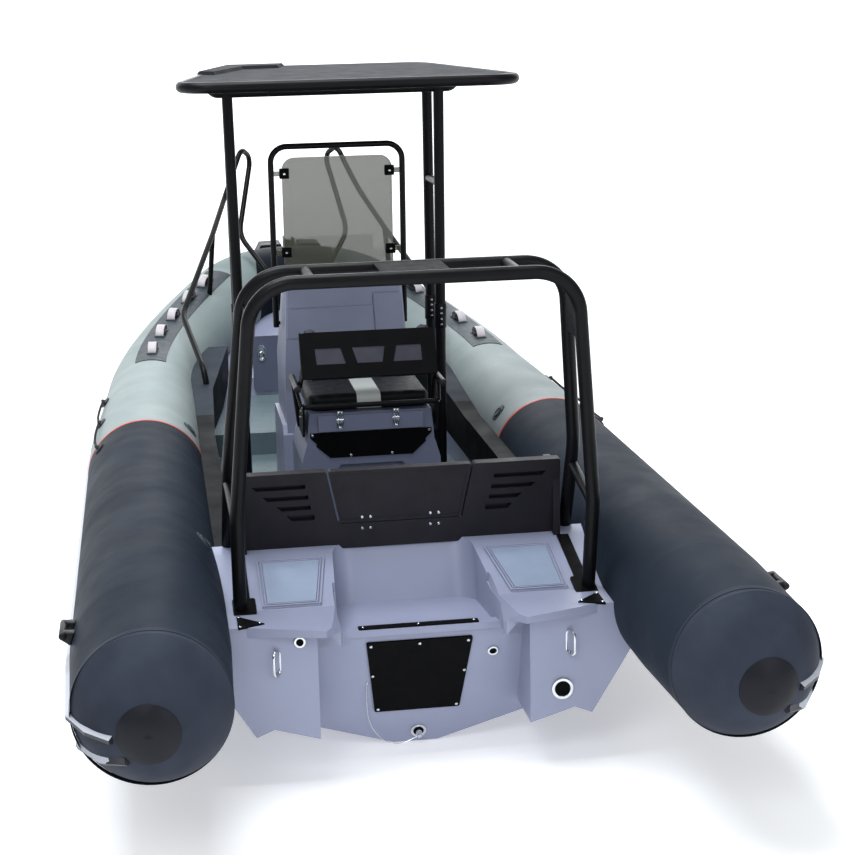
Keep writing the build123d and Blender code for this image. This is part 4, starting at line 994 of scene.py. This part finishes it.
# %% arm plugs and bracket bolts
ARM_END = (0.312, 1.275, 0.805)
arm_plug = fresh(
    "cylinder", "plug_pattern", vertices=24, radius=14.2 * MM, depth=4 * MM, location=(0, 0, 2 * MM)
)
pick(arm_plug, upward)
bpy.ops.mesh.inset(thickness=3 * MM)
bpy.ops.transform.translate(value=(0, 0, 1.5 * MM))
leave()
arm_x, arm_y, arm_z = ARM_END
spread(
    arm_plug, [stand((side * arm_x, arm_y, arm_z), AFT, ACROSS) for side, word in SIDES], "arm_plugs",
    "panel_grey",
)
drop(arm_plug)
BRACKET_X = 0.293
BRACKET_BOLTS = ((1.300, 0.722), (1.335, 0.700), (1.40, 0.66), (1.50, 0.615))
spread(
    screw,
    [stand((side * BRACKET_X, y, z), (side, 0, 0), UP) for side, word in SIDES for y, z in BRACKET_BOLTS],
    "bracket_bolts", "steel",
)

# %% [markdown]
# ## Tubes
# A thin orange tape is glued round each tube where the two colours meet, and where the dome is joined
# on, the fabric laps in a narrow raised seam. Each is a cylinder without ends, as wide as the tape
# and a hair smaller than the tube, given a thickness outwards and a soft edge.

# %% tapes and seams
TUBE = Vector((0.966, 0, 0.252))
TUBE_R = 0.272
AHEAD = (0, 1, 0)
BANDS = (
    # name, y, radius, width, height, finish, slot
    ("stripe_", 2.144, TUBE_R - 0.4 * MM, 24 * MM, 1.8 * MM, "stripe", "tube_light"),
    ("dome_seam_", -0.856, 0.2566, 30 * MM, 1.1 * MM, "tube_dark", "tube_dark"),
)
for side, word in SIDES:
    for name, y, radius, width, height, finish, slot in BANDS:
        tape = fresh(
            "cylinder", name + word, vertices=96, radius=radius, depth=width, end_fill_type="NOTHING"
        )
        modify(tape, "SOLIDIFY", thickness=height, offset=1)
        rounded(tape, height * 0.45)
        tape.data.transform(stand((side * TUBE.x, y, TUBE.z), AHEAD, UP))
        done(tape, finish)

# %% [markdown]
# ## Carrying straps
# Five carrying straps stand on each bow patch, and the patch follows the tube as it bends in to the
# bow. So a place on the bend is worked out first: the tube's axis turns about one line, by a share
# of its whole turn, and a spot lies on the skin at an angle above the outer side.

# %% the tube's bend at the bow
SHOULDER = Vector((0.927, 3.590, 0.297))
TAPER_START = Vector((0.966, 2.500, 0.252))
QUARTER = Vector((0.444, 5.198, 0.580))
taper_dir = (SHOULDER - TAPER_START).normalized()
outboard = (Vector((1, 0, 0)) - taper_dir * taper_dir.x).normalized()
chord = QUARTER - SHOULDER
bend_normal = taper_dir.cross(chord).normalized()
bend_turn = 2 * taper_dir.angle(chord)
bend_centre = SHOULDER + bend_normal.cross(taper_dir) * chord.length / (2 * sin(bend_turn / 2))
BOW_R = 0.245
PATCH_T = 0.004


def on_bow(share, degrees, side):
    """A matrix on a bow tube's patch: Z off the skin, Y along the tube."""
    turn = Matrix.Rotation(bend_turn * share, 3, bend_normal)
    ahead = turn @ taper_dir
    out = turn @ outboard
    up = out.cross(ahead)
    away = out * cos(radians(degrees)) + up * sin(radians(degrees))
    spot = bend_centre + turn @ (SHOULDER - bend_centre) + away * (BOW_R + PATCH_T)
    mirror = Vector((side, 1, 1))
    return stand(spot * mirror, away * mirror, ahead * mirror)


print("the bow tube turns by", round(bend_turn * 180 / pi), "degrees")

# %% [markdown]
# A strap is stiff webbing bent over a half round, so it is cut from a ring: a cylinder without ends
# on its side, its lower half deleted, given a thickness. A shallow rubber cup lies under each one,
# the top of a sphere made flat, and a stitched foot lies at each end.

# %% straps, cups and feet
STRAP_SHARES = (0.12, 0.335, 0.52, 0.70, 0.855)
STRAP_DEGREES = 91
STRAP_FOOT = 62 * MM
strap = fresh(
    "cylinder", "strap_pattern", vertices=32, radius=50 * MM, depth=46 * MM, end_fill_type="NOTHING",
    rotation=(0, pi / 2, 0),
)
pick(strap, lambda centre, normal: centre.z < -0.001)
bpy.ops.mesh.delete(type="FACE")
bpy.ops.mesh.select_all(action="SELECT")
bpy.ops.transform.resize(value=(1, 1.15, 0.86))
leave()
modify(strap, "SOLIDIFY", thickness=3 * MM, offset=1)
rounded(strap, 1 * MM)
cup = fresh("uv_sphere", "cup_pattern", segments=32, ring_count=12, radius=36 * MM)
pick(cup, lambda centre, normal: centre.z < 0)
bpy.ops.mesh.delete(type="FACE")
bpy.ops.mesh.select_all(action="SELECT")
bpy.ops.transform.resize(value=(0.9, 1.25, 0.30))
leave()
foot = fresh("cube", "foot_pattern", size=1)
pick(foot, every)
bpy.ops.transform.resize(value=(56 * MM, 26 * MM, 4 * MM))
leave()
rounded(foot, 1.5 * MM, 3)
strap_places = [on_bow(share, STRAP_DEGREES, side) for share in STRAP_SHARES for side, word in SIDES]
spread(strap, strap_places, "straps", "strap")
spread(cup, strap_places, "strap_cups", "black_rubber")
spread(
    foot,
    [place @ Matrix.Translation((0, end * STRAP_FOOT, 2 * MM)) for place in strap_places for end in (1, -1)],
    "strap_feet", "patch_grey",
)
drop(strap, cup, foot)

# %% [markdown]
# ## Grab lines
# A black grab line runs along the outside of each tube between moulded loops. It is stiff rope pulled
# taut, so each length keeps one slight bow between its loops instead of hanging. A loop is the upper
# half of a torus, on an oval pad with a raised middle.

# %% grab lines and their loops


def on_tube(y, degrees, side, reach=TUBE_R):
    """A matrix on the straight tube's skin at a place along it and an angle above its outer side."""
    away = Vector((side * cos(radians(degrees)), 0, sin(radians(degrees))))
    return stand(Vector((side * TUBE.x, y, TUBE.z)) + away * reach, away, AHEAD)


loop = fresh(
    "torus", "loop_pattern", major_radius=20 * MM, minor_radius=7 * MM, major_segments=28,
    minor_segments=12, rotation=(0, pi / 2, 0),
)
pick(loop, lambda centre, normal: centre.z < -0.002)
bpy.ops.mesh.delete(type="FACE")
leave()
pad_oval = fresh(
    "cylinder", "loop_pad_pattern", vertices=32, radius=36 * MM, depth=6 * MM, location=(0, 0, 2 * MM)
)
pick(pad_oval, every)
bpy.ops.transform.resize(value=(0.8, 1.4, 1))
leave()
pick(pad_oval, upward)
bpy.ops.mesh.inset(thickness=6 * MM)
bpy.ops.transform.translate(value=(0, 0, 3 * MM))
leave()
LINE_ANGLE, LINE_BOW = 40, 5  # degrees round the tube
LINE_STOPS = (2.02, 2.56, 3.10)
LINE_R = 6.2 * MM
LINE_LIFT, END_LIFT = 16 * MM, 3 * MM
TAPER_FROM = 2.5
TAPER = 0.022


def skin_at(y):
    """The tube's radius, which shrinks towards the bow."""
    return TUBE_R - max(0.0, y - TAPER_FROM) * TAPER


loop_places = [on_tube(y, LINE_ANGLE, side, skin_at(y)) for y in LINE_STOPS for side, word in SIDES]
spread(loop, loop_places, "line_loops", "black_rubber")
spread(pad_oval, loop_places, "line_pads", "black_rubber")
drop(loop, pad_oval)
for side, word in SIDES:
    points = []
    for start, stop in zip(LINE_STOPS, LINE_STOPS[1:]):
        for share in (0.0, 0.25, 0.5, 0.75):
            y = start + (stop - start) * share
            bow = LINE_BOW * 4 * share * (1 - share)
            points.append(on_tube(y, LINE_ANGLE - bow, side, skin_at(y) + LINE_LIFT).translation)
    points.append(on_tube(LINE_STOPS[-1], LINE_ANGLE, side, TUBE_R + END_LIFT).translation)
    wire("grab_line_" + word, points, LINE_R, "rope")

# %% [markdown]
# Near the stern each tube has a moulded rubber carrying handle on its outer side: a thick grip that
# stands on two feet. The grip is a cylinder with stepped ends, and a foot is a block that narrows
# to its top.

# %% stern handles
GRIP_Z = 34 * MM
grip = fresh(
    "cylinder", "grip_pattern", vertices=28, radius=13 * MM, depth=150 * MM, rotation=(pi / 2, 0, 0),
    location=(0, 0, GRIP_Z),
)
pick(grip, lambda centre, normal: abs(normal.y) > 0.9)
bpy.ops.mesh.inset(thickness=3 * MM)
pull()
bpy.ops.transform.resize(value=(1, 1.06, 1), center_override=(0, 0, GRIP_Z))
leave()
rounded(grip, 3 * MM)
POST_SIZE = (50 * MM, 40 * MM, 40 * MM)
POST_PLACE = (0, 0, 18 * MM)
post = fresh("cube", "post_pattern", size=1, location=POST_PLACE)
pick(post, every)
bpy.ops.transform.resize(value=POST_SIZE, center_override=POST_PLACE)
leave()
pick(post, upward)
bpy.ops.transform.resize(value=(0.6, 0.7, 1), center_override=(0, 0, 38 * MM))
leave()
rounded(post, 6 * MM, 3)
HANDLE_Y, HANDLE_ANGLE = -0.35, 20
POST_REACH = 55 * MM
handle_places = [on_tube(HANDLE_Y, HANDLE_ANGLE, side) for side, word in SIDES]
spread(grip, handle_places, "stern_grips", "black_rubber")
spread(
    post,
    [place @ Matrix.Translation((0, end * POST_REACH, 0)) for place in handle_places for end in (1, -1)],
    "stern_grip_posts", "black_rubber",
)
drop(grip, post)

# %% [markdown]
# ## Valves
# Each chamber of a tube is filled through a valve on its inner side: a round patch with a raised cap
# and a finger hollow, which two insets and two extrusions of a disc give.

# %% valves
VALVE_Y = (2.36, 0.4)
VALVE_ANGLE = 142
valve = fresh(
    "cylinder", "valve_pattern", vertices=36, radius=45 * MM, depth=3 * MM, location=(0, 0, 1 * MM)
)
pick(valve, upward)
bpy.ops.mesh.inset(thickness=18 * MM)
pull(z=6 * MM)
bpy.ops.mesh.inset(thickness=5 * MM)
pull(z=-2 * MM)
leave()
rounded(valve, 1 * MM)
spread(
    valve, [on_tube(y, VALVE_ANGLE, side) for y in VALVE_Y for side, word in SIDES], "valves",
    "patch_grey",
)
drop(valve)

# %% [markdown]
# ## Screen and legs
# The tinted screen hangs in its hoop on four arms, and each arm ends in a black clamp block with a
# screw through it. A block is a cube whose face is inset and pushed out.

# %% screen clamps
SCREEN_FOOT = Vector((0, 2.440, 1.120))
SCREEN_UP = Vector((0, -0.045, 0.625)).normalized()
SCREEN_OUT = Vector((0, -SCREEN_UP.z, SCREEN_UP.y))
clamp = fresh("cube", "clamp_pattern", size=1)
pick(clamp, every)
bpy.ops.transform.resize(value=(46 * MM, 48 * MM, 22 * MM))
leave()
pick(clamp, upward)
bpy.ops.mesh.inset(thickness=6 * MM)
bpy.ops.transform.translate(value=(0, 0, 3 * MM))
leave()
rounded(clamp, 3 * MM)
CLAMP_X = 0.250
CLAMP_UP = (0.123, 0.500)
CLAMP_FACE = 13 * MM
clamp_places = [
    stand(SCREEN_FOOT + SCREEN_UP * up + Vector((side * CLAMP_X, 0, 0)), SCREEN_OUT, SCREEN_UP)
    for up in CLAMP_UP for side, word in SIDES
]
spread(clamp, clamp_places, "screen_clamps", "black_plate")
spread(
    screw, [place @ Matrix.Translation((0, 0, CLAMP_FACE)) for place in clamp_places], "clamp_bolts", "steel"
)
drop(clamp)

# %% [markdown]
# The hard top's legs are pipes in two lengths, joined by a sleeve with four bolts. A sleeve is an open
# cylinder with a thickness, stood on the line of its leg.

# %% splices
LEGS = (
    # x at the foot, x at the top, y at the foot, y at the top
    (0.482, 0.500, 2.470, 2.440),
    (0.482, 0.488, 2.740, 2.730),
)
LEG_FOOT_Z, LEG_TOP_Z = 0.030, 1.995
SPLICE_Z = 0.90
SPLICE_BOLTS = (-0.040, -0.014, 0.014, 0.040)
BOLT_REACH = Vector((0, -29 * MM, 0))
collar = fresh(
    "cylinder", "collar_pattern", vertices=32, radius=26.2 * MM, depth=120 * MM, end_fill_type="NOTHING"
)
modify(collar, "SOLIDIFY", thickness=3.5 * MM, offset=1)
rounded(collar, 1.2 * MM)
collar_places, collar_bolts = [], []
for x_foot, x_top, y_foot, y_top in LEGS:
    for side, word in SIDES:
        low, high = Vector((side * x_foot, y_foot, LEG_FOOT_Z)), Vector((side * x_top, y_top, LEG_TOP_Z))
        along = (high - low).normalized()
        spot = low.lerp(high, (SPLICE_Z - LEG_FOOT_Z) / (LEG_TOP_Z - LEG_FOOT_Z))
        collar_places.append(stand(spot, along, AHEAD))
        for step in SPLICE_BOLTS:
            collar_bolts.append(stand(spot + along * step + BOLT_REACH, AFT, ACROSS))
spread(collar, collar_places, "leg_splices", "black_tube")
spread(screw, collar_bolts, "splice_bolts", "steel")
drop(collar)

# %% [markdown]
# ## Locker pull
# The locker door has a flush stainless pull: an oval rim round a sunk dish, with a small ring to lift.
# The rim is a cylinder made oval, inset and sunk, and the ring is a torus drawn out below. Both
# swing with the door.

# %% the pull and its ring
pull_rim = fresh(
    "cylinder", "pull_rim", vertices=40, radius=30 * MM, depth=6 * MM, location=(0, 0, 3 * MM)
)
pick(pull_rim, every)
bpy.ops.transform.resize(value=(0.85, 1.6, 1))
leave()
pick(pull_rim, upward)
bpy.ops.mesh.inset(thickness=7 * MM)
pull(z=-4 * MM)
leave()
rounded(pull_rim, 1.2 * MM)
DOOR_FACE_Y = 4.284
PULL_X, PULL_Z = -0.285, 0.421
pull_place = stand((PULL_X, DOOR_FACE_Y, PULL_Z), AFT, UP)
pull_rim.data.transform(pull_place)
done(pull_rim, "steel", "locker_door")
RING_PLACE = (0, -6 * MM, 4 * MM)
ring = fresh(
    "torus", "pull_ring", major_radius=13 * MM, minor_radius=2.8 * MM, major_segments=28,
    minor_segments=8, location=RING_PLACE,
)
pick(ring, lambda centre, normal: centre.y < RING_PLACE[1])
bpy.ops.transform.translate(value=(0, -12 * MM, 0))
leave()
ring.data.transform(pull_place)
done(ring, "steel", "locker_door")

drop(screw)
